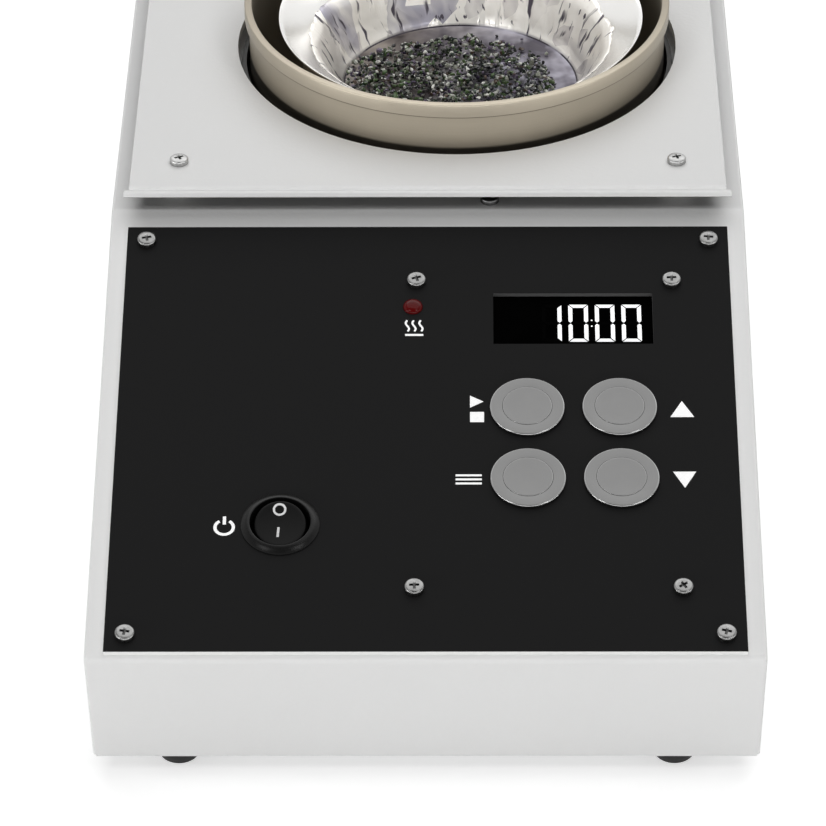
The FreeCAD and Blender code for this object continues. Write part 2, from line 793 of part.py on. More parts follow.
def deck_plate():
    """Plate with a round opening, and along its front a low lip that stands out at both sides."""
    body = new_body("deck_plate")
    sketch = sketch_on(body, "XY_Plane", "plate_outline", z="plate_bottom")
    side = "(plate_width / 2)"
    end = "(plate_width / 2 + lip_side)"
    step = "plate_front + lip_depth"
    rear = "plate_front + plate_length"
    right = [(end, "plate_front"), (end, step), (side, step), (side, rear)]
    outline(sketch, right + [(f"-1 * {x}", y) for x, y in reversed(right)])
    circle(sketch, "ring_offset", "well_y", "hole_radius")
    for x in ("-1 * plate_screw_x", "plate_screw_x"):
        for y in ("plate_screw_y", "plate_screw_y + plate_screw_run"):
            circle(sketch, x, y, "screw_radius + screw_clearance")
    pad(body, sketch, "plate_thickness")
    above = sketch_on(body, "XY_Plane", "above_lip", z="plate_top")
    rectangle(above, f"-1 * ({end} + 1)", "plate_front - 1", f"{end} + 1", step)
    pocket(body, above, "lip_drop")

    def straight_at(level, edge):
        return edge.Curve.TypeId == "Part::GeomLine" and abs(edge.CenterOfMass.z - value(level)) < 1e-3

    def lip_rim(edge):
        centre = edge.CenterOfMass
        at_front = abs(centre.y - value("plate_front")) < 1e-3
        at_end = abs(abs(centre.x) - value(end)) < 1e-3
        return straight_at("plate_top - lip_drop", edge) and (at_front or at_end)

    dress(body, "Fillet", lambda edge: straight_at("plate_top", edge), "plate_edge_radius", "plate_edges")
    dress(body, "Fillet", lip_rim, "lip_radius", "lip_edges")


def deck_fasteners():
    """Spacers between the case deck and the plate, and the screws through them."""
    hole = "screw_radius + screw_clearance"
    spacer = [
        (hole, "deck_level"),
        ("spacer_radius", "deck_level"),
        ("spacer_radius", "plate_bottom"),
        (hole, "plate_bottom"),
    ]
    grip = "plate_thickness + plate_gap + case_sheet + screw_end"
    spacers = fasteners("deck_spacers", spacer, "2 * plate_screw_x", "plate_screw_run")
    screws = fasteners("deck_screws", pan_screw("plate_top", grip), "2 * plate_screw_x", "plate_screw_run")
    for body in (spacers, screws):
        place(body, x="-1 * plate_screw_x", y="plate_screw_y")


# Heating well

def shield_can():
    """Spun steel can that hangs from the case deck by its flange and holds the insulation."""
    outer = "shield_radius + shield_flange"
    body = turned("shield_can", [
        ("probe_radius + hole_gap", "shield_bottom"),
        ("shield_radius", "shield_bottom"),
        ("shield_radius", "shield_top - shield_wall"),
        (outer, "shield_top - shield_wall"),
        (outer, "shield_top"),
        ("shield_radius - shield_wall", "shield_top"),
        ("shield_radius - shield_wall", "board_bottom"),
        ("probe_radius + hole_gap", "board_bottom"),
    ])
    to_well(body)
    holes = sketch_on(body, "XY_Plane", "flange_holes", z="shield_top")
    for number in range(3):
        angle = f"shield_screw_turn + {120 * number}"
        circle(
            holes, f"shield_screw_circle * cos({angle})", f"shield_screw_circle * sin({angle})",
            "screw_radius + thread_gap",
        )
    pocket(body, holes, "shield_wall * 2")
    through = sketch_on(body, "XY_Plane", "floor_holes", z="board_bottom")
    well_holes(through)
    pocket(body, through, "shield_wall * 2")


def well_holes(sketch):
    """Clearance holes for the three tie bolts and the two terminal posts."""
    bolt_holes(sketch)
    for side in ("-1 * post_circle", "post_circle"):
        circle(sketch, side, "0", "post_radius + hole_gap")


def bolt_holes(sketch):
    for number in range(3):
        angle = f"bolt_turn + {120 * number}"
        circle(sketch, f"bolt_circle * cos({angle})", f"bolt_circle * sin({angle})", "bolt_radius + hole_gap")


def shield_screws():
    profile = pan_screw("deck_level", "case_sheet + shield_wall + screw_end")
    fastener_circle("shield_can_screws", profile, "shield_screw_circle", "shield_screw_turn")


def insulation():
    board = turned("insulation_board", [
        ("probe_radius + hole_gap", "board_bottom"),
        ("shield_radius - shield_wall - insulation_gap", "board_bottom"),
        ("shield_radius - shield_wall - insulation_gap", "board_top"),
        ("probe_radius + hole_gap", "board_top"),
    ])
    to_well(board)
    holes = sketch_on(board, "XY_Plane", "board_holes", z="board_top")
    well_holes(holes)
    pocket(board, holes, "board_thickness * 2")
    top = "shield_top - insulation_drop"
    ring = turned("insulation_ring", [
        ("ring_body + insulation_gap", "board_top"),
        ("shield_radius - shield_wall - insulation_gap", "board_top"),
        ("shield_radius - shield_wall - insulation_gap", top),
        ("ring_body + insulation_gap", top),
    ])
    to_well(ring)


def furnace_ring():
    """Turned metal ring with a thicker band round its mouth and an inward ledge at its foot."""
    inner = "ring_radius - ring_wall"
    band_low = "ring_top - ring_band_height"
    body = turned("furnace_ring", [
        ("ring_radius - ring_ledge_width", "board_top"),
        ("ring_body", "board_top"),
        ("ring_body", band_low),
        ("ring_radius", band_low),
        ("ring_radius", "ring_top - ring_edge"),
        ("ring_radius - ring_edge", "ring_top"),
        (f"{inner} + ring_edge", "ring_top"),
        (inner, "ring_top - ring_edge"),
        (inner, "ledge_top"),
        ("ring_radius - ring_ledge_width", "ledge_top"),
    ])
    to_well(body)
    holes = sketch_on(body, "XY_Plane", "ledge_holes", z="ledge_top")
    bolt_holes(holes)
    pocket(body, holes, "ring_wall * 2")


def dish_sleeve():
    """Upright sleeve on the ring's ledge, with a conical mouth that carries the dish."""
    inner = "sleeve_radius - sleeve_wall"
    seat = "dish_knee - dish_sheet * 0.5 - seat_gap * 1.4"
    reach = "(dish_knee_radius + dish_sheet * 0.5)"
    body = turned("dish_sleeve", [
        (inner, "ledge_top"),
        ("sleeve_radius", "ledge_top"),
        ("sleeve_radius", f"{seat} + (sleeve_radius - {reach}) * flare"),
        (inner, f"{seat} + ({inner} - {reach}) * flare"),
    ])
    to_well(body, x="dish_offset")


def ring_radius_of(number):
    """Middle radius of one ring of the heating coil."""
    return f"coil_inner_radius + coil_pitch * {number}"


def heater_former():
    """Ceramic disc on the insulation board, grooved for the coil's rings and the links between them."""
    top = "former_top"
    body = turned("heater_former", [
        ("probe_radius + hole_gap", "board_top"),
        ("former_radius", "board_top"),
        ("former_radius", "former_top - former_edge"),
        ("former_radius - former_edge", top),
        ("probe_radius + hole_gap", top),
    ])
    to_well(body)
    half = "(coil_wire_radius + coil_gap)"
    for number in range(SIZES["coil_rings"]):
        groove = sketch_on(body, "XY_Plane", f"coil_groove_{number}", z=top)
        circle(groove, "0", "0", f"{ring_radius_of(number)} - {half}")
        circle(groove, "0", "0", f"{ring_radius_of(number)} + {half}")
        pocket(body, groove, "groove_depth")
    for number in range(SIZES["coil_rings"] - 1):
        side = 1 if number % 2 else -1
        link = sketch_on(body, "XY_Plane", f"link_groove_{number}", z=top)
        ends = (f"{side} * ({ring_radius_of(number)})", f"{side} * ({ring_radius_of(number + 1)})")
        left, right = sorted(ends, key=value)
        rectangle(link, left, f"-1 * ({half})", right, half)
        pocket(body, link, "groove_depth")
    holes = sketch_on(body, "XY_Plane", "post_holes", z=top)
    for side in ("-1 * post_circle", "post_circle"):
        circle(holes, side, "0", "post_radius + hole_gap")
    pocket(body, holes, "former_thickness * 2")


def heating_coil():
    """Round heating element in rings that short links join, lying in the former's grooves."""
    level = "former_top - groove_depth + coil_wire_radius"
    pieces = []
    for number in range(SIZES["coil_rings"]):
        ring = doc.addObject("Part::Torus", f"coil_ring_{number}")
        bind(ring, "Radius1", ring_radius_of(number))
        bind(ring, "Radius2", "coil_wire_radius")
        place(ring, z=level)
        pieces.append(ring)
    for number in range(SIZES["coil_rings"] - 1):
        side = 1 if number % 2 else -1
        link = doc.addObject("Part::Cylinder", f"coil_link_{number}")
        bind(link, "Radius", "coil_wire_radius * 0.9")
        bind(link, "Height", "coil_pitch")
        start = f"{side} * ({ring_radius_of(number)})"
        place(link, x=start, z=level, tilt="90", about=Vector(0, side, 0))
        pieces.append(link)
    coil = doc.addObject("Part::MultiFuse", "heating_coil")
    coil.Label = "heating_coil"
    coil.Shapes = pieces
    to_well(coil)
    parts.append(coil)


# Dish

def sample_dish():
    """Pressed steel dish: flat floor, steep wall, and a flared lip that hangs on the sleeve."""
    body = turned("sample_dish", [
        ("0", "dish_bottom"),
        ("dish_base_radius - 1", "dish_bottom"),
        ("dish_base_radius", "dish_bottom + 0.8"),
        ("dish_knee_radius + dish_sheet * 0.5", "dish_knee - dish_sheet * 0.5"),
        ("dish_rim_radius", "dish_rim - dish_sheet * 0.8"),
        ("dish_rim_radius", "dish_rim"),
        ("dish_rim_radius - dish_sheet * 0.9", "dish_rim"),
        ("dish_knee_radius - dish_sheet * 0.4", "dish_knee + dish_sheet * 0.4"),
        ("dish_base_radius - dish_sheet", "dish_floor"),
        ("0", "dish_floor"),
    ])
    to_well(body, x="dish_offset")


def foil_liner():
    """Foil pressed over the dish's floor and up its wall, a little clear of the steel."""
    low = "dish_floor + foil_gap"
    wall = "(dish_knee_radius - dish_base_radius) / (dish_knee - dish_floor)"
    foot = "dish_base_radius - dish_sheet * 1.2 - foil_gap"
    top = f"{foot} + foil_height * {wall}"
    body = turned("foil_liner", [
        ("0", low),
        (foot, low),
        (top, f"{low} + foil_height"),
        (f"{top} - foil_sheet", f"{low} + foil_height"),
        (f"{foot} - foil_sheet", f"{low} + foil_sheet"),
        ("0", f"{low} + foil_sheet"),
    ])
    to_well(body, x="dish_offset")


def sample_charge():
    """The heap of granules, as one low mound on the foil's floor, towards the front."""
    low = "charge_bottom"
    body = turned("sample_charge", [
        ("0", low),
        ("charge_radius", low),
        ("charge_radius * 0.95", f"{low} + charge_height * 0.35"),
        ("charge_radius * 0.7", f"{low} + charge_height * 0.8"),
        ("charge_radius * 0.35", f"{low} + charge_height"),
        ("0", f"{low} + charge_height"),
    ])
    place(body, x="ring_offset + dish_offset", y="well_y - charge_shift")


# Heater hardware

def heater_posts():
    """Two terminal posts that carry current through the former, the board and the can."""
    low = "shield_bottom - post_tail"
    top = "former_top - groove_depth - hole_gap"
    body = turned("heater_terminals", [
        ("0", low),
        ("post_stud_radius", low),
        ("post_stud_radius", "shield_bottom - post_shoulder"),
        ("post_radius", "shield_bottom - post_shoulder"),
        ("post_radius", top),
        ("0", top),
    ])
    repeat(body, body.Tip, "X", "2 * post_circle", "2")
    place(body, x="ring_offset - post_circle", y="well_y")


def thermocouple():
    """Sheathed probe up the middle of the well, with its hexagon gland under the can."""
    low = "shield_bottom - probe_tail"
    tip = "dish_bottom - probe_gap"
    body = turned("thermocouple", [
        ("0", low),
        ("probe_radius", low),
        ("probe_radius", f"{tip} - probe_radius"),
        ("probe_radius * 0.6", tip),
        ("0", tip),
    ])
    gland = sketch_on(body, "XY_Plane", "probe_gland", z="shield_bottom - gland_height")
    corners = []
    for number in range(6):
        angle = 60 * number
        corners.append((f"gland_radius * cos({angle})", f"gland_radius * sin({angle})"))
    outline(gland, corners)
    pad(body, gland, "gland_height")
    to_well(body)


def tie_bolts():
    """Three bolts that draw the furnace ring's ledge and the insulation down to the can."""
    nut_low = "shield_bottom - nut_height"
    fastener_circle("tie_bolts", [
        ("0", f"{nut_low} - bolt_radius"),
        ("bolt_radius", f"{nut_low} - bolt_radius"),
        ("bolt_radius", nut_low),
        ("bolt_head_radius", nut_low),
        ("bolt_head_radius", "shield_bottom"),
        ("bolt_radius", "shield_bottom"),
        ("bolt_radius", "ledge_top"),
        ("bolt_head_radius", "ledge_top"),
        ("bolt_head_radius", "ledge_top + bolt_head_height"),
        ("0", "ledge_top + bolt_head_height"),
    ], "bolt_circle", "bolt_turn")


# Control panel

def control_panel():
    body = new_body("control_panel")
    sketch = sketch_on(body, "XY_Plane", "panel_outline")
    side = "panel_width / 2"
    rectangle(sketch, f"-1 * {side}", "panel_start", side, "panel_start + panel_length")
    hole = "screw_radius + screw_clearance"
    for x in ("-1 * panel_screw_x", "panel_screw_x"):
        for y in ("panel_screw_y", "panel_screw_y + panel_screw_run"):
            circle(sketch, x, y, hole)
    for x in ("module_left", "module_left + module_width"):
        for y in ("module_low", "module_low + module_length"):
            circle(sketch, x, y, hole)
    for x in ("button_left", "button_left + button_pitch"):
        for y in ("button_low", "button_low + button_pitch"):
            circle(sketch, x, y, "button_hole")
    circle(sketch, "switch_x", "switch_y", "switch_body_radius + screw_clearance")
    circle(sketch, "lamp_x", "lamp_y", "lamp_radius + screw_clearance")
    rectangle(
        sketch, "window_left", "window_low", "window_left + window_width", "window_low + window_height"
    )
    pad(body, sketch, "panel_sheet")
    to_panel(body)


def panel_fasteners():
    """Corner screws, and the four that carry the control board on its standoffs."""
    grip = "panel_sheet + screw_grip"
    corner = fasteners("panel_screws", pan_screw("panel_sheet", grip), "2 * panel_screw_x", "panel_screw_run")
    to_panel(corner, x="-1 * panel_screw_x", y="panel_screw_y")
    inner = fasteners("module_screws", pan_screw("panel_sheet", grip), "module_width", "module_length")
    to_panel(inner, x="module_left", y="module_low")
    bore = "screw_radius + thread_gap"
    bore_floor = "-1 * screw_grip - screw_end / 2"
    standoffs = fasteners("board_standoffs", [
        ("0", "board_face"),
        ("standoff_radius", "board_face"),
        ("standoff_radius", "0"),
        (bore, "0"),
        (bore, bore_floor),
        ("0", bore_floor),
    ], "module_width", "module_length")
    to_panel(standoffs, x="module_left", y="module_low")


def display():
    """Clear window behind the panel's opening, and the digit module behind the window."""
    window = new_body("display_window")
    sketch = sketch_on(window, "XY_Plane", "window_outline", z="-1 * window_sheet")
    rectangle(
        sketch,
        "window_left - window_lap",
        "window_low - window_lap",
        "window_left + window_width + window_lap",
        "window_low + window_height + window_lap",
    )
    pad(window, sketch, "window_sheet")
    to_panel(window)
    module = new_body("display_module")
    back = "-1 * window_sheet - display_depth"
    sketch = sketch_on(module, "XY_Plane", "module_outline", z=back)
    rectangle(
        sketch, "window_left", "window_low", "window_left + window_width", "window_low + window_height"
    )
    pad(module, sketch, "display_depth")
    carrier = sketch_on(module, "XY_Plane", "carrier_outline", z="board_face")
    rectangle(
        carrier,
        "window_left + carrier_inset",
        "window_low + carrier_inset",
        "window_left + window_width - carrier_inset",
        "window_low + window_height - carrier_inset",
    )
    pad(module, carrier, "board_drop - window_sheet - display_depth")
    to_panel(module)


def indicator_lamp():
    body = turned("indicator_lamp", [
        ("0", "-1 * lamp_depth"),
        ("lamp_radius", "-1 * lamp_depth"),
        ("lamp_radius", "panel_sheet"),
        ("lamp_flange_radius", "panel_sheet"),
        ("lamp_flange_radius", "panel_sheet + 0.8"),
        ("lamp_radius * 0.97", "panel_sheet + lamp_height * 0.55"),
        ("lamp_radius * 0.7", "panel_sheet + lamp_height * 0.88"),
        ("lamp_radius * 0.3", "panel_sheet + lamp_height"),
        ("0", "panel_sheet + lamp_height"),
    ])
    to_panel(body, x="lamp_x", y="lamp_y")


def control_board():
    body = new_body("control_board")
    sketch = sketch_on(body, "XY_Plane", "board_outline", z="board_face - board_sheet")
    rectangle(
        sketch,
        "module_left - board_margin",
        "module_low - board_margin",
        "module_left + module_width + board_margin",
        "module_low + module_length + board_margin",
    )
    pad(body, sketch, "board_sheet")
    chip = sketch_on(body, "XY_Plane", "chip_outline", z="board_face")
    left = "module_left + chip_x"
    low = "module_low + chip_y"
    rectangle(chip, left, low, f"{left} + chip_size", f"{low} + chip_size")
    rectangle(chip, f"{left} + chip_size * 1.7", low, f"{left} + chip_size * 3.4", f"{low} + chip_size * 0.7")
    pad(body, chip, "chip_height")
    header = sketch_on(body, "XY_Plane", "header_outline", z="board_face")
    left = "module_left + header_x"
    low = "module_low + header_y"
    rectangle(header, left, low, f"{left} + header_width", f"{low} + header_length")
    pad(body, header, "header_height")
    to_panel(body)


def push_buttons():
    """Four round metal buttons: housing, moving cap and nut, two by two."""
    names = {
        ("0", "1"): "start_stop",
        ("1", "1"): "up",
        ("0", "0"): "mode",
        ("1", "0"): "down",
    }
    well = "button_cap_radius + button_fit"
    face = "button_face"
    floor = "button_face - button_cap_height - button_travel - button_floor_gap"
    crown = "button_face + button_cap_rise"
    for (column, line), name in names.items():
        x = f"button_left + {column} * button_pitch"
        y = f"button_low + {line} * button_pitch"
        housing = turned(f"{name}_button_housing", [
            ("0", "panel_sheet - button_depth"),
            ("button_barrel_radius", "panel_sheet - button_depth"),
            ("button_barrel_radius", "panel_sheet"),
            ("button_radius", "panel_sheet"),
            ("button_radius", f"{face} - button_edge"),
            ("button_radius - button_edge", face),
            (well, face),
            (well, floor),
            ("0", floor),
        ])
        to_panel(housing, x=x, y=y)
        cap = turned(f"{name}_button", [
            ("0", f"{face} - button_cap_height"),
            ("button_cap_radius", f"{face} - button_cap_height"),
            ("button_cap_radius", f"{crown} - button_cap_edge"),
            ("button_cap_radius - button_cap_edge", crown),
            ("button_cap_radius * 0.5", f"{crown} - button_cap_edge * 0.7"),
            ("0", f"{crown} - button_cap_edge"),
        ])
        to_panel(cap, x=x, y=y)
    nuts = fasteners("button_nuts", [
        ("button_barrel_radius + nut_fit", "-1 * button_nut_height"),
        ("button_nut_radius - nut_edge", "-1 * button_nut_height"),
        ("button_nut_radius", "-1 * button_nut_height + nut_edge"),
        ("button_nut_radius", "0"),
        ("button_barrel_radius + nut_fit", "0"),
    ], "button_pitch", "button_pitch")
    to_panel(nuts, x="button_left", y="button_low")


def power_switch():
    """Round rocker switch: housing with a sloped bezel, and the rocker on its pivot."""
    rim = "panel_sheet + switch_bezel"
    housing = turned("switch_housing", [
        ("0", "panel_sheet - switch_depth"),
        ("switch_body_radius", "panel_sheet - switch_depth"),
        ("switch_body_radius", "panel_sheet"),
        ("switch_radius", "panel_sheet"),
        ("switch_radius", "panel_sheet + 0.4"),
        ("switch_opening + 0.9", rim),
        ("switch_opening", rim),
        ("switch_opening", "switch_floor"),
        ("0", "switch_floor"),
    ])
    bearing = sketch_on(housing, "YZ_Plane", "pivot_bearing")
    circle(bearing, "0", "pivot_level", "pivot_radius + pivot_fit")
    pocket(housing, bearing, "2 * (switch_opening + pivot_reach + 0.2)", both_ways=True)
    tabs = sketch_on(housing, "XY_Plane", "spade_tabs", z="panel_sheet - switch_depth - spade_length")
    for place_in_row in (-1, 0, 1):
        middle = f"spade_pitch * {place_in_row}"
        rectangle(
            tabs, "-0.5 * spade_width", f"{middle} - spade_sheet / 2", "0.5 * spade_width",
            f"{middle} + spade_sheet / 2",
        )
    pad(housing, tabs, "spade_length + spade_sheet")
    to_panel(housing, x="switch_x", y="switch_y")
    rocker = new_body("switch_rocker")
    disc = sketch_on(rocker, "XY_Plane", "rocker_disc", z="-1 * rocker_skirt")
    circle(disc, "0", "0", "rocker_radius")
    pad(rocker, disc, "rocker_skirt + rocker_rise")
    saddle = sketch_on(rocker, "YZ_Plane", "rocker_saddle")
    outline(saddle, [
        ("-1 * rocker_radius - 1", "rocker_rise"),
        ("0", "rocker_rise - rocker_dip"),
        ("rocker_radius + 1", "rocker_rise"),
        ("rocker_radius + 1", "rocker_rise + 3"),
        ("-1 * rocker_radius - 1", "rocker_rise + 3"),
    ])
    pocket(rocker, saddle, "2 * rocker_radius + 2", both_ways=True)
    pin = sketch_on(rocker, "YZ_Plane", "rocker_pin")
    circle(pin, "0", "0", "pivot_radius")
    pad(rocker, pin, "2 * (switch_opening + pivot_reach)", both_ways=True)
    to_panel(rocker, x="switch_x", y="switch_y", z="pivot_level", extra_tilt="rocker_tilt")


# Power board

def power_board():
    board = new_body("power_board")
    sketch = sketch_on(board, "XY_Plane", "power_outline", z="power_level")
    rectangle(
        sketch, "-0.5 * power_width", "power_y - power_length / 2", "0.5 * power_width",
        "power_y + power_length / 2",
    )
    for x in ("-0.5 * power_width + power_inset", "0.5 * power_width - power_inset"):
        for y in ("power_low_y", "power_low_y + power_run"):
            circle(sketch, x, y, "screw_radius + screw_clearance")
    pad(board, sketch, "board_sheet")
    standoffs = fasteners("power_standoffs", [
        ("0", "case_bottom"),
        ("standoff_radius", "case_bottom"),
        ("standoff_radius", "power_level"),
        ("screw_radius", "power_level"),
        ("screw_radius", "power_top"),
        ("standoff_radius", "power_top"),
        ("standoff_radius", "power_top + head_height"),
        ("0", "power_top + head_height"),
    ], "power_width - 2 * power_inset", "power_run")
    place(standoffs, x="-0.5 * power_width + power_inset", y="power_low_y")


def transformer():
    """Laminated core with the wound bobbin showing on both sides."""
    body = new_body("transformer")
    left = "-0.5 * power_width + transformer_inset"
    right = f"{left} + transformer_width"
    low = "power_y - transformer_length / 2"
    high = "power_y + transformer_length / 2"
    core = sketch_on(body, "XY_Plane", "core_outline", z="power_top")
    rectangle(core, left, f"{low} + bobbin_margin", right, f"{high} - bobbin_margin")
    pad(body, core, "transformer_height")
    bobbin = sketch_on(body, "XY_Plane", "bobbin_outline", z="power_top + bobbin_margin / 2")
    rectangle(bobbin, f"{left} + bobbin_margin", low, f"{right} - bobbin_margin", high)
    pad(body, bobbin, "transformer_height - bobbin_margin")


def relay():
    body = new_body("relay")
    sketch = sketch_on(body, "XY_Plane", "relay_outline", z="power_top")
    right = "0.5 * power_width - relay_inset"
    low = "power_y + relay_shift"
    rectangle(sketch, f"{right} - relay_width", low, right, f"{low} + relay_length")
    pad(body, sketch, "relay_height")

    def upper(edge):
        return abs(edge.CenterOfMass.z - value("power_top + relay_height")) < 1e-3

    dress(body, "Chamfer", upper, "relay_edge", "relay_edges")


def terminal_block():
    """Row of screw terminals at the board's front edge."""
    body = new_body("terminal_block")
    sketch = sketch_on(body, "XY_Plane", "terminal_outline", z="power_top")
    x = "0.5 * power_width - relay_inset - terminal_pitch * terminal_ways"
    y = "power_y - power_length / 2 + terminal_inset"
    rectangle(sketch, x, y, f"{x} + terminal_pitch * terminal_ways", f"{y} + terminal_depth")
    pad(body, sketch, "terminal_height")
    well = sketch_on(body, "XY_Plane", "terminal_well", z="power_top + terminal_height")
    circle(well, f"{x} + terminal_pitch / 2", f"{y} + terminal_depth / 2", "terminal_pitch * 0.3")
    cut = pocket(body, well, "terminal_height * 0.5")
    repeat(body, cut, "X", "terminal_pitch * (terminal_ways - 1)", "terminal_ways")


# Power inlet

def power_inlet():
    """Flanged appliance inlet with its socket open to the back, its three pins and two screws."""
    body = new_body("power_inlet")
    outside = sketch_on(body, "XZ_Plane", "inlet_flange", z="-1 * inlet_face")
    left = "inlet_x - inlet_flange_width / 2"
    right = "inlet_x + inlet_flange_width / 2"
    low = "inlet_z - inlet_flange_height / 2"
    top = "inlet_z + inlet_flange_height / 2"
    near = "inlet_x - inlet_width / 2"
    far = "inlet_x + inlet_width / 2"
    outline(outside, [
        (left, "inlet_z - inlet_ear"),
        (near, low),
        (far, low),
        (right, "inlet_z - inlet_ear"),
        (right, "inlet_z + inlet_ear"),
        (far, top),
        (near, top),
        (left, "inlet_z + inlet_ear"),
    ])
    for x in ("inlet_x - inlet_screw_spacing / 2", "inlet_x + inlet_screw_spacing / 2"):
        circle(outside, x, "inlet_z", "screw_radius + screw_clearance")
    pad(body, outside, "inlet_flange_thickness")
    inside = sketch_on(body, "XZ_Plane", "inlet_body", z="-1 * rear_y")
    rectangle(inside, near, "inlet_z - inlet_height / 2", far, "inlet_z + inlet_height / 2")
    pad(body, inside, "inlet_depth")
    socket = sketch_on(body, "XZ_Plane", "inlet_socket", z="-1 * inlet_face")
    left = f"{near} + inlet_wall"
    right = f"{far} - inlet_wall"
    low = "inlet_z - inlet_height / 2 + inlet_wall"
    top = "inlet_z + inlet_height / 2 - inlet_wall"
    outline(socket, [
        (left, low),
        (right, low),
        (right, f"{top} - inlet_corner"),
        (f"{right} - inlet_corner", top),
        (f"{left} + inlet_corner", top),
        (left, f"{top} - inlet_corner"),
    ])
    pocket(body, socket, "inlet_socket_depth", reversed_way=True)
    pins = new_body("inlet_pins")
    pin_end = "inlet_face - inlet_socket_depth + pin_reach"
    sketch = sketch_on(pins, "XZ_Plane", "pin_outline", z=f"-1 * ({pin_end})")
    for x, z in (
        ("inlet_x - pin_pitch", "inlet_z - pin_earth_shift / 2"),
        ("inlet_x", "inlet_z + pin_earth_shift / 2"),
        ("inlet_x + pin_pitch", "inlet_z - pin_earth_shift / 2"),
    ):
        rectangle(
            sketch, f"{x} - pin_width / 2", f"{z} - pin_height / 2", f"{x} + pin_width / 2",
            f"{z} + pin_height / 2",
        )
    pad(pins, sketch, "pin_reach")
    grip = "inlet_flange_thickness + rear_sheet + screw_end * 2"
    screws = screws_forward("inlet_screws", "inlet_face", grip, "inlet_screw_spacing")
    place(screws, x="inlet_x - inlet_screw_spacing / 2", z="inlet_z")


case_shell()
base_plate()
rear_panel()
feet()
case_fasteners()
deck_plate()
deck_fasteners()
shield_can()
shield_screws()
insulation()
furnace_ring()
dish_sleeve()
heater_former()
heating_coil()
heater_posts()
thermocouple()
tie_bolts()
sample_dish()
foil_liner()
sample_charge()
control_panel()
panel_fasteners()
display()
indicator_lamp()
control_board()
push_buttons()
power_switch()
power_board()
transformer()
relay()
terminal_block()
power_inlet()

doc.recompute()
faults = [item.Name for item in doc.Objects if {"Invalid", "Error"} & set(item.State)]
for part in parts:
    if part.Shape.isNull() or not part.Shape.isValid() or not part.Shape.Solids:
        faults.append(part.Label)
if faults:
    raise RuntimeError(f"failed: {sorted(set(faults))}")

os.makedirs("parts", exist_ok=True)
for part in parts:
    part.Shape.exportStep(f"parts/{part.Label}.step")
print(len(parts), "parts written")
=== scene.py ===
import json
import math
import random
from math import cos, pi, radians, sin

import bmesh
import bpy
from mathutils import Matrix, Vector, noise


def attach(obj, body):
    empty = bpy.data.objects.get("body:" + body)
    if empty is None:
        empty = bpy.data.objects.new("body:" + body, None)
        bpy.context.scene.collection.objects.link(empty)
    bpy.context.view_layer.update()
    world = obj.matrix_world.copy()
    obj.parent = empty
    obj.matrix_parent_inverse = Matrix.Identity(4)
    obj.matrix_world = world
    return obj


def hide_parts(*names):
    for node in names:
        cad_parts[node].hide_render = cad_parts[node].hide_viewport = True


# Benchtop combustion furnace. Shapes are worked out in millimetres and set down in metres.

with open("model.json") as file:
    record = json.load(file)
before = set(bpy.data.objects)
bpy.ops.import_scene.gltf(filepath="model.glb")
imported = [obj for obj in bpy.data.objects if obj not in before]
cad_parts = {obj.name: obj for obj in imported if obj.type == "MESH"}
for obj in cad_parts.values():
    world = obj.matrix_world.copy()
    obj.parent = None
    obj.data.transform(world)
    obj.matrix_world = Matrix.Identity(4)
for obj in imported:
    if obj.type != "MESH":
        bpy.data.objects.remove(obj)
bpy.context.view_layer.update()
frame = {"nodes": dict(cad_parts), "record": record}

MM = 0.001

# Sloped panel: its lower edge in the furnace, and its face over its back
SLOPE = radians(15.35)
PANEL_EDGE = Vector((0, -178.592, 53.4))
PANEL = Matrix.Translation(PANEL_EDGE) @ Matrix.Rotation(SLOPE, 4, "X")
PANEL_FACE = 1.5

# Deck: the collar around its opening, and the plate above it
COLLAR_REACH = 70.0
COLLAR_LOW = 98.5
COLLAR_HIGH = 104.6
PLATE_UNDERSIDE = 106.4
PLATE_TOP = 109.4

# Ring: radii of its bore, body and top band, and heights of the band
RING_PLACE = Vector((9.0, 78.203, 0))
RING_BORE = 65.7
RING_BODY = 66.7
RING_BAND = 68.1
BAND_LOW = 120.7
RING_TOP = 125.4

# Dish and its foil
DISH_PLACE = Vector((10.25, 78.203, 0))
DISH_FLOOR = 93.2
FOIL_FLOOR = 93.75
FOIL_KNEE = 94.0
FOIL_FLARE = 109.3
FOIL_EDGE = 112.16
FOIL_WALL = 43.0
FOIL_SEAM = 37.75

# Buttons: radii of the outer edge and of the cap's edge
BUTTON_EDGE = 10.95
CAP_EDGE = 7.24


# Finishes

def toned(shade, factor, lift=0.0):
    """A colour made darker or lighter."""
    return tuple(min(1.0, part * factor + lift) for part in shade)


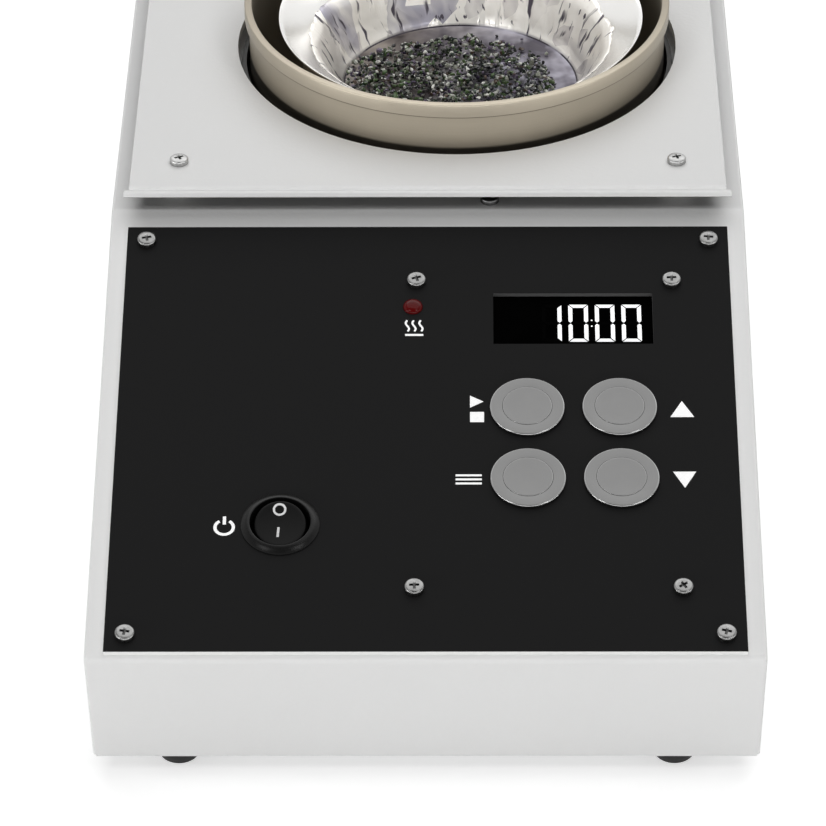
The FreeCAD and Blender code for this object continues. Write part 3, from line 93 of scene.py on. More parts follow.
class Amount:
    """Something that varies over a surface, and can stand in a sum."""

    def __init__(self, finish, socket):
        self.finish = finish
        self.socket = socket

    def sum(self, operation, first, second=0.0):
        return self.finish.node("Math", {"operation": operation}, {0: first, 1: second})

    def __add__(self, other):
        return self.sum("ADD", self, other)

    def __radd__(self, other):
        return self.sum("ADD", other, self)

    def __sub__(self, other):
        return self.sum("SUBTRACT", self, other)

    def __rsub__(self, other):
        return self.sum("SUBTRACT", other, self)

    def __mul__(self, other):
        return self.sum("MULTIPLY", self, other)

    def __rmul__(self, other):
        return self.sum("MULTIPLY", other, self)

    def __pow__(self, other):
        return self.sum("POWER", self, other)

    def __gt__(self, other):
        return self.sum("GREATER_THAN", self, other)

    def __lt__(self, other):
        return self.sum("LESS_THAN", self, other)

    def most(self, other):
        return self.sum("MAXIMUM", self, other)

    def within(self, reach, of):
        """1 where the amount is no further than reach from a value."""
        return self.finish.node("Math", {"operation": "COMPARE"}, {0: self, 1: of, 2: reach})

    def fade(self, start, end):
        """0 at start, 1 at end, and an even rise between them."""
        sockets = {"Value": self, "From Min": start, "From Max": end, "To Min": 0.0, "To Max": 1.0}
        return self.finish.node("MapRange", {"clamp": True}, sockets)

    def fade_mm(self, start, end):
        """The same between two lengths in millimetres."""
        return self.fade(start * MM, end * MM)


class Finish:
    """A material being mixed: its nodes, and the place on the piece that they read."""

    def __init__(self, name):
        self.material = bpy.data.materials.new(name)
        self.material.use_nodes = True
        self.tree = self.material.node_tree
        self.tree.nodes.clear()
        self.place = self.node("TexCoord", output="Object")

    def node(self, kind, settings=None, sockets=None, output=0):
        """Add a node: its settings first, then what each of its sockets is given."""
        made = self.tree.nodes.new("ShaderNode" + kind)
        for name, setting in (settings or {}).items():
            if name == "stops":
                self.set_stops(made.color_ramp.elements, setting)
            else:
                setattr(made, name, setting)
        for name, given in (sockets or {}).items():
            if isinstance(given, Amount):
                self.tree.links.new(given.socket, made.inputs[name])
            elif given is not None:
                made.inputs[name].default_value = given
        return Amount(self, made.outputs[output])

    def set_stops(self, elements, stops):
        while len(elements) < len(stops):
            elements.new(0.5)
        for element, (position, grey) in zip(elements, stops):
            element.position = position
            element.color = (grey, grey, grey, 1.0)

    def ramp(self, amount, *stops):
        return self.node("ValToRGB", {"stops": stops}, {0: amount})

    def blend(self, first, second, amount):
        """One colour over another."""
        shades = [(*shade, 1.0) if isinstance(shade, tuple) else shade for shade in (first, second)]
        return self.node("Mix", {"data_type": "RGBA"}, {0: amount, 6: shades[0], 7: shades[1]}, output=2)

    def stretched(self, scale, centre=(0, 0, 0)):
        shifted = self.node("VectorMath", {"operation": "SUBTRACT"}, {0: self.place, 1: centre})
        return self.node("VectorMath", {"operation": "MULTIPLY"}, {0: shifted, 1: scale})

    def grain(self, per_metre, detail=2.0, rough=0.5, place=None):
        sockets = {"Vector": place or self.place, "Scale": per_metre, "Detail": detail, "Roughness": rough}
        return self.node("TexNoise", None, sockets)

    def cells(self, per_metre, feature="F1", place=None, output=0):
        sockets = {"Vector": place or self.place, "Scale": per_metre}
        return self.node("TexVoronoi", {"feature": feature}, sockets, output)

    def axis(self, letter, place=None):
        return self.node("SeparateXYZ", None, {0: place or self.place}, output=letter)

    def radius(self, centre):
        x = self.axis("X") - centre[0] * MM
        y = self.axis("Y") - centre[1] * MM
        return (x * x + y * y) ** 0.5

    def bump(self, height, depth_mm, over=None):
        sockets = {"Strength": 1.0, "Distance": depth_mm * MM, "Height": height, "Normal": over}
        return self.node("Bump", None, sockets)

    def surface(self, colour, rough, metal=0.0, normal=None, **fixed):
        """Close the material with its shader; fixed sockets are named with underscores."""
        if isinstance(colour, tuple):
            colour = (*colour, 1.0)
        sockets = {"Base Color": colour, "Roughness": rough, "Metallic": metal, "Normal": normal}
        for name, given in fixed.items():
            sockets[FIXED[name]] = given
        shader = self.node("BsdfPrincipled", None, sockets)
        self.node_out(shader)
        return self.material

    def node_out(self, shader, goal="Material"):
        out = self.tree.nodes.new("ShaderNodeOutput" + goal)
        self.tree.links.new(shader.socket, out.inputs["Surface"])


FIXED = {
    "coat": "Coat Weight",
    "coat_rough": "Coat Roughness",
    "shine": "Specular IOR Level",
    "glow": "Emission Color",
    "glow_strength": "Emission Strength",
}


def powder_coat(name, shade):
    """Baked powder paint with an orange peel; the deck's collar and the plate's underside get painted shade,
    a near-black that deepens the shadow in the deck's gap and under the plate.
    """
    paint = Finish(name)
    drift = paint.grain(11.0, detail=3.0)
    fleck = paint.grain(2600.0, detail=1.0)
    coat = paint.blend(toned(shade, 0.955), toned(shade, 1.035), drift * 0.40 + fleck * 0.28 + 0.15)
    peel = paint.grain(780.0, detail=2.0, rough=0.45)
    level = paint.axis("Z")
    # Painted shade: near-black on the deck's collar round the ring, and on the plate's underside with a thin
    # line along its bottom edges.
    at_collar = (level > COLLAR_LOW * MM) * (level < COLLAR_HIGH * MM)
    collar = (paint.radius(RING_PLACE) < COLLAR_REACH * MM) * at_collar
    painted_shade = collar.most(level.within(0.12 * MM, PLATE_UNDERSIDE * MM))
    return paint.surface(
        paint.blend(coat, (0.040, 0.038, 0.034), painted_shade),
        paint.grain(420.0, detail=2.0) * 0.16 + 0.36,
        normal=paint.bump(peel, 0.060),
        shine=0.42,
    )


def turned_metal(name, shade, centre, rough=0.3, line_depth=0.012, heat_and_shade=0.0, metallic=1.0):
    """Metal off the lathe: fine rings about the centre, and a slow change of tone.

    The furnace's ring also has painted shade: darker towards its sides and back, a painted shadow line under
    its band, and near-black painted shade on its foot in the deck's gap.
    """
    metal = Finish(name)
    out = metal.radius(centre)
    along = out + metal.axis("Z")
    rings = metal.node("TexNoise", {"noise_dimensions": "1D"}, {"W": along, "Scale": 5200.0, "Detail": 2.0})
    stain = metal.grain(38.0, detail=4.0, rough=0.6)
    tone = metal.blend(toned(shade, 0.82), toned(shade, 1.12), rings * 0.55 + stain * 0.45)
    level = metal.axis("Z")
    # Painted shade: the ring's outside darkens from its front towards its sides and back.
    side_shade = metal.axis("Y").fade_mm(22, 85) * (out > (RING_BORE - 0.5) * MM) * heat_and_shade
    # Painted shadow: a thin dark line just under the band's lower edge.
    band_shadow = level.within(0.26 * MM, (BAND_LOW + 0.16) * MM) * (out > (RING_BODY + 0.7) * MM) * 0.55
    # Painted shade: the ring's foot goes near-black below the plate's top, in the deck's gap.
    gap_shade = level.fade_mm(PLATE_TOP + 0.5, PLATE_TOP - 0.3) * (out > (RING_BODY - 0.5) * MM) * 0.85
    side_shaded = metal.blend(tone, toned(shade, 0.24), side_shade)
    return metal.surface(
        metal.blend(side_shaded, (0.012, 0.010, 0.008), band_shadow.most(gap_shade)),
        rings * 0.14 + stain * 0.10 + (rough - 0.12),
        metal=metallic,
        normal=metal.bump(rings, line_depth),
    )


def plated_metal(name, shade, rough=0.24, scratch=0.010):
    """Zinc plate or satin steel: cloudy patches, hairline scratches, and painted shade darkening the driver
    recess.
    """
    metal = Finish(name)
    # Painted shade: the driver recess is darkened towards its bottom.
    hollow = metal.node("Attribute", {"attribute_name": "hollow"}, output="Fac")
    cloud = metal.grain(320.0, detail=4.0, rough=0.65)
    hairs = metal.grain(900.0, detail=3.0, place=metal.stretched((1.0, 0.12, 1.0)))
    plate = metal.blend(toned(shade, 0.72), shade, metal.ramp(cloud, (0.3, 0.0), (0.62, 1.0)))
    return metal.surface(
        metal.blend(plate, toned(shade, 0.22), hollow),
        cloud * 0.22 + (rough - 0.06),
        metal=1.0,
        normal=metal.bump(hairs, scratch),
    )


def moulded(name, shade, rough=0.45, peel=0.02, shine=0.35):
    """Moulded plastic or rubber with a spark-eroded texture."""
    plastic = Finish(name)
    grain = plastic.grain(2400.0, detail=3.0, rough=0.6)
    drift = plastic.grain(90.0, detail=2.0)
    return plastic.surface(
        plastic.blend(shade, toned(shade, 1.5, lift=0.002), drift * 0.7),
        grain * 0.14 + (rough - 0.07),
        normal=plastic.bump(grain, peel),
        shine=shine,
    )


def lathe_satin(name, shade, rough):
    """Satin turned face: faint rings about the piece's own axis, and polished edges that are lighter in
    colour, partly as a painted highlight.
    """
    metal = Finish(name)
    out = metal.node("Attribute", {"attribute_name": "radius"}, output="Fac")
    rings = metal.node("TexNoise", {"noise_dimensions": "1D"}, {"W": out, "Scale": 3.2, "Detail": 3.0})
    cloud = metal.grain(210.0, detail=3.0)
    # Polished edges, partly a painted highlight: the outer edge and the cap's edge are lighter in colour and
    # smoother.
    edge = out.fade(BUTTON_EDGE - 0.25, BUTTON_EDGE).most(out.within(0.07, CAP_EDGE) * 0.5)
    face = metal.blend(toned(shade, 0.88), toned(shade, 1.12), rings * 0.7 + cloud * 0.3)
    return metal.surface(
        metal.blend(face, toned(shade, 2.1), edge),
        rings * 0.08 + (rough - 0.04) - edge * 0.20,
        metal=1.0,
        normal=metal.bump(rings, 0.006),
    )


def panel_laminate():
    """Matt black face, with the pale core showing on the sawn outer edge; the inside cut walls are a lighter
    grey as painted light.
    """
    panel = Finish("panel_black")
    side, front, rear = 91.8 * MM, 2.1 * MM, 166.6 * MM
    x = panel.axis("X")
    level = panel.axis("Z") - PANEL_EDGE.z * MM
    back = panel.axis("Y") - PANEL_EDGE.y * MM
    height = level * cos(SLOPE) - back * sin(SLOPE)
    along = back * cos(SLOPE) + level * sin(SLOPE)
    outside = (x > side).most(x < -side).most(along < front).most(along > rear)
    cut = height < (PANEL_FACE - 0.10) * MM
    grain = panel.grain(3100.0, detail=2.0)
    smudge = panel.grain(26.0, detail=4.0, rough=0.6)
    face = panel.blend((0.0088, 0.0088, 0.0089), (0.0108, 0.0108, 0.0110), smudge)
    # Painted light: the walls of the inside cuts are lighter grey than the black face.
    edge = panel.blend((0.085, 0.085, 0.085), (0.90, 0.90, 0.89), outside)
    return panel.surface(
        panel.blend(face, edge, cut),
        smudge * 0.08 + 0.58,
        normal=panel.bump(grain, 0.006),
        shine=0.05,
    )


def pressed_foil():
    """Foil: pale walls whose flat folds and facets are painted violet-grey and beige as painted reflection,
    painted shade in dark upright creases in places, a painted shadow line at the seam, and a floor painted
    dark as painted reflection and shade.
    """
    foil = Finish("foil")
    centred = foil.stretched((1.0, 1.0, 1.0), DISH_PLACE * MM)
    across = foil.axis("X", centred)
    turn = across.sum("ARCTAN2", across, foil.axis("Y", centred))
    around = turn * (FOIL_WALL * MM) + foil.grain(95.0, detail=2.0) * 0.006
    level = foil.axis("Z")
    upright = foil.node("CombineXYZ", None, {"X": around, "Y": level * 0.22})
    leaning = foil.node("CombineXYZ", None, {"X": around + level * 0.35, "Y": level * 0.45})
    flat = foil.node("CombineXYZ", None, {"X": around - level * 0.25, "Y": level * 0.80})
    fold = foil.axis("X", foil.cells(74.0, place=flat, output="Color"))
    facet = foil.axis("X", foil.cells(190.0, place=flat, output="Color"))
    creases = foil.grain(330.0, detail=2.0, place=upright)
    nicks = foil.grain(520.0, detail=2.0, place=leaning)
    where = foil.grain(48.0, detail=2.0)
    # Painted shade: dark upright creases on the wall, in places.
    crease_shade = creases.fade(0.600, 0.645) * where.fade(0.46, 0.54)
    crease_shade = crease_shade.most(nicks.fade(0.62, 0.66) * where.fade(0.55, 0.47))
    # Painted reflection: flat folds and facets of the wall get violet-grey and beige patches.
    shade = foil.grain(110.0, detail=2.0, place=leaning).fade(0.28, 0.60)
    cream = foil.blend((1.0, 0.97, 0.915), (0.60, 0.565, 0.56), facet.fade(0.84, 0.87) * shade)
    folded = foil.blend(cream, (0.42, 0.405, 0.47), fold.fade(0.80, 0.82) * shade)
    wall = foil.blend(folded, (0.090, 0.078, 0.100), crease_shade)
    # Painted reflection and shade: the floor is dark, brown to the left and blue-grey to the right.
    mottle = foil.grain(75.0, detail=3.0, rough=0.55)
    warm = foil.blend((0.060, 0.047, 0.045), (0.21, 0.185, 0.165), mottle.fade(0.42, 0.66))
    cold = foil.blend((0.075, 0.067, 0.090), (0.38, 0.37, 0.43), mottle.fade(0.38, 0.64))
    floor = foil.blend(warm, cold, foil.axis("X").fade_mm(-5, 25))
    shaded = foil.blend(wall, floor, level.fade_mm(FOIL_KNEE + 0.8, FOIL_KNEE))
    # Painted shadow: a dark line at the seam where the wall meets the floor.
    at_seam = foil.radius(DISH_PLACE).within(0.22 * MM, FOIL_SEAM * MM)
    seam_shade = at_seam * level.fade_mm(FOIL_KNEE + 1.8, FOIL_KNEE + 1.0)
    wrinkled = creases.fade(0.70, 0.50) * 0.8 + foil.grain(300.0, detail=3.0, place=leaning) * 0.5
    relief = wrinkled * level.fade_mm(FOIL_KNEE, FOIL_KNEE + 1.0) + foil.grain(160.0, detail=2.0) * 0.25
    return foil.surface(
        foil.blend(shaded, (0.030, 0.025, 0.034), seam_shade * foil.grain(60.0).fade(0.41, 0.50)),
        foil.grain(240.0, detail=3.0) * 0.12 + 0.27,
        metal=0.72,
        normal=foil.bump(relief, 0.16),
    )


def granule_mix():
    """Glittering granules: each keeps its own tone, with near-white painted glints here and there."""
    grit = Finish("granules")
    tone = grit.node("Attribute", {"attribute_name": "tone"}, output="Color")
    # Painted highlight: small cells over the chips are lightened to near-white glints.
    spark = grit.cells(900.0).fade(0.27, 0.10)
    return grit.surface(
        grit.blend(tone, (0.90, 0.91, 0.88), spark * 0.60),
        grit.grain(900.0, detail=2.0) * 0.30 + 0.20,
        normal=grit.bump(grit.grain(2600.0, detail=3.0), 0.04),
        coat=0.22,
        coat_rough=0.10,
        shine=0.35,
    )


def circuit_board():
    """Green solder mask with lighter tracks."""
    board = Finish("circuit_green")
    tracks = board.cells(260.0, "DISTANCE_TO_EDGE", board.stretched((1.0, 1.0, 0.0)))
    line = board.ramp(tracks, (0.04, 1.0), (0.07, 0.0))
    return board.surface(
        board.blend((0.010, 0.085, 0.030), (0.030, 0.200, 0.080), line),
        0.28 + board.grain(500.0) * 0.1,
        normal=board.bump(line, 0.035),
    )


def fired(name, shade, pits=0.10):
    """Ceramic or fibre board: open grain, and browning from the heat."""
    body = Finish(name)
    grain = body.grain(1300.0, detail=4.0, rough=0.7)
    heat_and_shade = body.grain(30.0, detail=3.0)
    return body.surface(
        body.blend(toned(shade, 0.55), shade, heat_and_shade * 0.7 + grain * 0.4),
        grain * 0.2 + 0.70,
        normal=body.bump(grain, pits),
    )


def laminated_core():
    """The transformer's stacked iron sheets."""
    core = Finish("core_iron")
    sheets = core.node("TexWave", {"bands_direction": "Z"}, {"Scale": 320.0, "Distortion": 0.3})
    return core.surface(
        core.blend((0.07, 0.07, 0.075), (0.17, 0.17, 0.18), sheets),
        0.42 + core.grain(300.0) * 0.2,
        metal=0.8,
        normal=core.bump(sheets, 0.06),
    )


FINISHES = {
    "case_paint": powder_coat("case_paint", (0.83, 0.83, 0.825)),
    "bare_steel": plated_metal("bare_steel", (0.62, 0.62, 0.61), rough=0.30),
    "ring_metal": turned_metal(
        "ring_metal", (0.50, 0.445, 0.355), RING_PLACE,
        rough=0.42, line_depth=0.024, heat_and_shade=0.56, metallic=0.72,
    ),
    "dish_steel": turned_metal("dish_steel", (0.87, 0.86, 0.84), DISH_PLACE, rough=0.22, line_depth=0.003),
    "foil": pressed_foil(),
    "granules": granule_mix(),
    "panel_black": panel_laminate(),
    "screw_steel": plated_metal("screw_steel", (0.42, 0.42, 0.415), rough=0.28, scratch=0.02),
    "window_clear": moulded("window_clear", (0.0002, 0.0002, 0.0002), rough=0.16, peel=0.0, shine=0.0),
    "button_metal": lathe_satin("button_metal", (0.160, 0.160, 0.159), rough=0.36),
    "switch_black": moulded("switch_black", (0.0024, 0.0024, 0.0024), rough=0.42, peel=0.008, shine=0.10),
    "rubber_black": moulded("rubber_black", (0.012, 0.012, 0.012), rough=0.62),
    "fibre": fired("fibre", (0.30, 0.25, 0.20)),
    "ceramic": fired("ceramic", (0.78, 0.72, 0.63)),
    "coil_wire": fired("coil_wire", (0.10, 0.085, 0.08), pits=0.05),
    "circuit_green": circuit_board(),
    "moulded_dark": moulded("moulded_dark", (0.020, 0.020, 0.021)),
    "terminal_green": moulded("terminal_green", (0.030, 0.240, 0.090)),
    "core_iron": laminated_core(),
    "brass": plated_metal("brass", (0.80, 0.60, 0.28), rough=0.26),
}


def lens_red():
    """Red lamp lens: deep and clear, lit a little from inside."""
    lens = Finish("lamp_red")
    swirl = lens.grain(500.0, detail=2.0)
    return lens.surface(
        lens.blend((0.050, 0.0006, 0.0006), (0.095, 0.0014, 0.0014), swirl),
        0.10 + swirl * 0.05,
        glow=(0.50, 0.006, 0.006, 1.0),
        glow_strength=0.03,
        coat=0.05,
        shine=0.09,
    )


def white_ink(name, shade, glow=0.0):
    """Printed marks, a little worn; lit digits glow, and the panel's printed marks get a faint glow as
    painted light.
    """
    ink = Finish(name)
    wear = ink.grain(900.0, detail=3.0)
    return ink.surface(
        ink.blend(toned(shade, 0.93), shade, wear),
        0.5 + wear * 0.1,
        shine=0.2,
        glow=(1.0, 1.0, 1.0, 1.0),
        glow_strength=glow,
    )


FINISHES["lamp_red"] = lens_red()
# Painted light: the printed marks on the panel glow faintly, though they are no lamp.
INK = white_ink("panel_ink", (0.92, 0.92, 0.92), glow=0.26)
LIT = white_ink("lit_segment", (0.92, 0.93, 0.95), glow=0.45)
DIM = moulded("unlit_segment", (0.0007, 0.0007, 0.0007), rough=0.30, shine=0.0)
BEZEL = moulded("bezel_black", (0.0030, 0.0030, 0.0030), rough=0.29, peel=0.004, shine=0.17)
MARK = white_ink("switch_mark", (0.80, 0.80, 0.80))
PANEL_SCREW = plated_metal("panel_screw_steel", (0.270, 0.270, 0.267), rough=0.24, scratch=0.02)
# Painted shade: the shield can's screws, under the deck plate, are given a much darker steel.
CAN_SCREW = plated_metal("can_screw_steel", (0.120, 0.120, 0.120), rough=0.30, scratch=0.02)


# Shapes

def turned(profile, steps=128, closed=False):
    """A round solid from its half profile, as (radius, height) corners, turned about Z."""
    shape = bmesh.new()
    corners = [shape.verts.new((radius, 0, height)) for radius, height in profile]
    for start, end in zip(corners, corners[1:] + corners[:1] if closed else corners[1:]):
        shape.edges.new((start, end))
    bmesh.ops.spin(
        shape, geom=shape.verts[:] + shape.edges[:], axis=(0, 0, 1), cent=(0, 0, 0), angle=2 * pi,
        steps=steps, use_merge=True,
    )
    bmesh.ops.remove_doubles(shape, verts=shape.verts, dist=1e-4)
    bmesh.ops.recalc_face_normals(shape, faces=shape.faces)
    distance = shape.verts.layers.float.new("radius")
    for vert in shape.verts:
        vert[distance] = math.hypot(vert.co.x, vert.co.y)
    return shape


def soften(shape, width, segments=3, sharper_than=28.0):
    """Round every edge that is sharper than an angle."""
    edges = [e for e in shape.edges if e.is_manifold and e.calc_face_angle(0) > radians(sharper_than)]
    bmesh.ops.bevel(
        shape, geom=edges, offset=width, offset_type="OFFSET", segments=segments, profile=0.5,
        affect="EDGES", clamp_overlap=True, material=-1,
    )
    return shape


def sheet_shape(corners, thickness, base=0.0):
    """A flat cut-out, as thick as it is told, standing on the height base."""
    shape = bmesh.new()
    face = shape.faces.new([shape.verts.new((x, y, base)) for x, y in corners])
    grown = bmesh.ops.extrude_face_region(shape, geom=[face])
    raised = [item for item in grown["geom"] if isinstance(item, bmesh.types.BMVert)]
    bmesh.ops.translate(shape, vec=(0, 0, thickness), verts=raised)
    bmesh.ops.recalc_face_normals(shape, faces=shape.faces)
    return shape


def mesh_of(shape, name="shape"):
    mesh = bpy.data.meshes.new(name)
    shape.to_mesh(mesh)
    shape.free()
    return mesh


def gathered(pieces):
    """One shape from several meshes, each set down by its own matrix; many are gathered in batches."""
    batch = 60
    if len(pieces) > batch:
        starts = range(0, len(pieces), batch)
        pieces = [(mesh_of(gathered(pieces[start:start + batch])), Matrix()) for start in starts]
    shape = bmesh.new()
    for mesh, place in pieces:
        before = len(shape.verts)
        shape.from_mesh(mesh)
        shape.verts.ensure_lookup_table()
        bmesh.ops.transform(shape, matrix=place, verts=shape.verts[before:])
    return shape


def moved(x=0.0, y=0.0, z=0.0):
    return Matrix.Translation((x, y, z))


def settle(shape, name, body, slot, place=Matrix(), finish=None, crease=34.0, instead_of=()):
    """Make a shape into a piece of the furnace, in its place and riding on its body."""
    bmesh.ops.transform(shape, matrix=Matrix.Scale(MM, 4) @ place, verts=shape.verts)
    mesh = mesh_of(shape, name)
    mesh.shade_smooth()
    mesh.set_sharp_from_angle(angle=radians(crease))
    piece = bpy.data.objects.new(name, mesh)
    bpy.context.scene.collection.objects.link(piece)
    mesh.materials.append(finish or FINISHES[slot])
    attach(piece, body)
    if instead_of:
        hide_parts(*instead_of)
    return piece


def stroke(points, width, closed=False, height=0.06):
    """An even line of ink through some points, with round ends."""
    curve = bpy.data.curves.new("stroke", "CURVE")
    curve.dimensions = "3D"
    curve.bevel_depth = width / 2
    curve.bevel_resolution = 2
    curve.use_fill_caps = True
    line = curve.splines.new("POLY")
    line.points.add(len(points) - 1)
    for point, (x, y) in zip(line.points, points):
        point.co = (x, y, 0, 1)
    line.use_cyclic_u = closed
    holder = bpy.data.objects.new("stroke", curve)
    bpy.context.scene.collection.objects.link(holder)
    mesh = bpy.data.meshes.new_from_object(holder.evaluated_get(bpy.context.evaluated_depsgraph_get()))
    bpy.data.objects.remove(holder)
    bpy.data.curves.remove(curve)
    mesh.transform(Matrix.Diagonal((1, 1, height / width, 1)))
    return mesh


def cut_from(shape, tool):
    """Take one closed shape out of another."""
    holders = []
    for part in (shape, tool):
        holder = bpy.data.objects.new("cut", mesh_of(part))
        bpy.context.scene.collection.objects.link(holder)
        holders.append(holder)
    cut = holders[0].modifiers.new("recess", "BOOLEAN")
    cut.operation = "DIFFERENCE"
    cut.solver = "EXACT"
    cut.object = holders[1]
    bpy.context.view_layer.update()
    mesh = bpy.data.meshes.new_from_object(holders[0].evaluated_get(bpy.context.evaluated_depsgraph_get()))
    for holder in holders:
        bpy.data.objects.remove(holder)
    return mesh


# Screws

def cross_recess(depth, reach, width):
    """The four-armed driver recess: two tapering bars, crossed, and the cone where they meet."""
    bars = []
    for angle in (0, pi / 2):
        bar = bmesh.new()
        bmesh.ops.create_cube(bar, size=1.0)
        bmesh.ops.scale(bar, vec=(reach * 2, width, depth * 2), verts=bar.verts)
        low = [v for v in bar.verts if v.co.z < 0]
        bmesh.ops.scale(bar, vec=(0.45, 0.7, 1.0), verts=low)
        bars.append((mesh_of(bar), Matrix.Rotation(angle, 4, "Z")))
    cone = bmesh.new()
    bmesh.ops.create_cone(
        cone, cap_ends=True, segments=24, radius1=width * 0.35, radius2=width * 0.95, depth=depth * 2)
    return bars + [(mesh_of(cone), Matrix())]


def pan_screw(shank):
    """Pan-head screw seated at height 0, with its driver recess and a turned rim."""
    head = turned([
        (0, -shank), (1.35, -shank), (1.5, -shank + 0.3), (1.5, 0), (2.78, 0), (2.9, 0.14), (2.9, 1.12),
        (2.85, 1.38), (2.72, 1.60), (2.50, 1.76), (2.15, 1.88), (1.5, 1.96), (0, 2.0),
    ], steps=48)
    mesh = mesh_of(head)
    for bar, turn in cross_recess(0.85, 2.10, 1.0):
        tool = gathered([(bar, moved(0, 0, 2.05) @ turn)])
        body = gathered([(mesh, Matrix())])
        mesh = cut_from(body, tool)
    hollow = mesh.attributes.new("hollow", "FLOAT", "POINT")
    sunk = [float(0.5 < v.co.z < 1.70 and math.hypot(v.co.x, v.co.y) < 2.15) for v in mesh.vertices]
    hollow.data.foreach_set("value", sunk)
    return mesh


SCREW = pan_screw(4.0)
spin = random.Random(11)


def screws(name, places, instead_of, finish=None):
    """A set of equal screws, each left at its own turn."""
    turns = [Matrix.Rotation(spin.uniform(0, pi), 4, "Z") for place in places]
    shape = gathered([(SCREW, place @ turn) for place, turn in zip(places, turns)])
    return settle(shape, name, "furnace", "screw_steel", finish=finish, crease=30, instead_of=(instead_of,))


def grid(xs, ys, z=0.0, base=Matrix(), turn=Matrix()):
    return [base @ moved(x, y, z) @ turn for x in xs for y in ys]


DOWNWARDS = Matrix.Rotation(pi, 4, "X")
BACKWARDS = Matrix.Rotation(-pi / 2, 4, "X")
FOOT_X = 73.0
FOOT_ROWS = {"front": -152.892, "rear": 155.413}
CAN_CIRCLE = 83.32
can_angles = [radians(277 + 120 * number) for number in range(3)]
can_spots = [
    moved(RING_PLACE.x + CAN_CIRCLE * cos(angle), RING_PLACE.y + CAN_CIRCLE * sin(angle), 99.9)
    for angle in can_angles
]
rear_spots = [moved(x, 173.403, z) @ BACKWARDS for x in (-90.4, 90.4) for z in (20.0, 87.9)]
inlet_spots = [moved(x, 176.003, 34.0) @ BACKWARDS for x in (-78.0, -38.0)]
corner_spots = grid((-86.0, 86.0), (7.9, 160.8), PANEL_FACE, PANEL)
module_spots = grid((-3.3, 74.2), (24.7, 144.0), PANEL_FACE, PANEL)
screws("panel_screw_set", corner_spots, "panel_screws", PANEL_SCREW)
screws("module_screw_set", module_spots, "module_screws", PANEL_SCREW)
screws("deck_screw_set", grid((-77.0, 77.0), (3.103, 153.303), PLATE_TOP), "deck_screws")
screws("can_screw_set", can_spots, "shield_can_screws", CAN_SCREW)
screws("rear_screw_set", rear_spots, "rear_screws")
screws("inlet_screw_set", inlet_spots, "inlet_screws")
screws("base_screw_set", grid((-90.4, 90.4), (-148.192, 156.203), 6.8, turn=DOWNWARDS), "base_screws")
screws("foot_screw_set", grid((-FOOT_X, FOOT_X), FOOT_ROWS.values(), 3.74, turn=DOWNWARDS), "foot_screws")


# Feet

for row, y in FOOT_ROWS.items():
    for side, x in (("left", -FOOT_X), ("right", FOOT_X)):
        foot = turned([
            (1.7, 3.74), (3.6, 3.74), (3.6, 0), (5.4, 0), (6.0, 0.82), (7.5, 5.44), (7.5, 6.8), (1.7, 6.8),
        ], steps=64, closed=True)
        soften(foot, 0.45)
        node = f"foot_{row}_{side}"
        settle(foot, node + "_rubber", "furnace", "rubber_black", moved(x, y), instead_of=(node,))


# Heating well

ring = turned([
    (48.1, 66.4), (RING_BODY, 66.4), (RING_BODY, BAND_LOW), (RING_BAND, BAND_LOW), (RING_BAND, RING_TOP),
    (RING_BORE, RING_TOP), (RING_BORE, 68.8), (48.1, 68.8),
], steps=256, closed=True)
soften(ring, 0.38, segments=4, sharper_than=60)
settle(ring, "furnace_collar", "furnace", "ring_metal", moved(*RING_PLACE), instead_of=("furnace_ring",))

sleeve = turned([(49.5, 68.8), (51.0, 68.8), (51.0, 111.9), (49.5, 110.7)], steps=192, closed=True)
soften(sleeve, 0.25, segments=2)
settle(sleeve, "dish_carrier", "furnace", "ring_metal", moved(*DISH_PLACE), instead_of=("dish_sleeve",))


# Dish, foil and charge

def dish_profile():
    """Half profile of the pressed dish: floor, round knee, steep wall, and the flared lip."""
    inside = [(0, DISH_FLOOR), (36.5, DISH_FLOOR), (38.6, 93.7), (40.2, 95.2), (41.2, 97.4)]
    inside += [(46.0, 108.2), (46.6, 109.6), (47.6, 110.9)]
    for step in range(1, 9):
        part = step / 8
        inside.append((47.6 + 10.4 * part, 110.9 + 8.4 * part ** 0.86))
    rolled = [(58.35, 119.35), (58.5, 119.1), (58.4, 118.8)]
    outside = [(r + 0.25, z - 0.75) for r, z in reversed(inside[5:-1])]
    outside += [(42.0, 97.2), (41.0, 94.8), (39.2, 92.9), (36.8, 92.4), (0, 92.4)]
    return inside + rolled + outside


settle(
    turned(dish_profile(), steps=256), "pressed_dish", "dish", "dish_steel", moved(*DISH_PLACE), crease=50,
    instead_of=("sample_dish",),
)


def crumple(point):
    """How far the foil stands off its dish at a point: flat folds, and a slow swell."""
    place = Vector((point.x, point.y, point.z * 0.42))
    near = noise.voronoi(place / 13.0)[0]
    near_fine = noise.voronoi(place / 5.0 + Vector((9, 4, 2)))[0]
    swell = noise.fractal(place / 14.0, 1.0, 2.0, 3)
    return 0.75 * min(near[1] - near[0], 0.6) + 0.16 * min(near_fine[1] - near_fine[0], 0.5) + 0.30 * swell


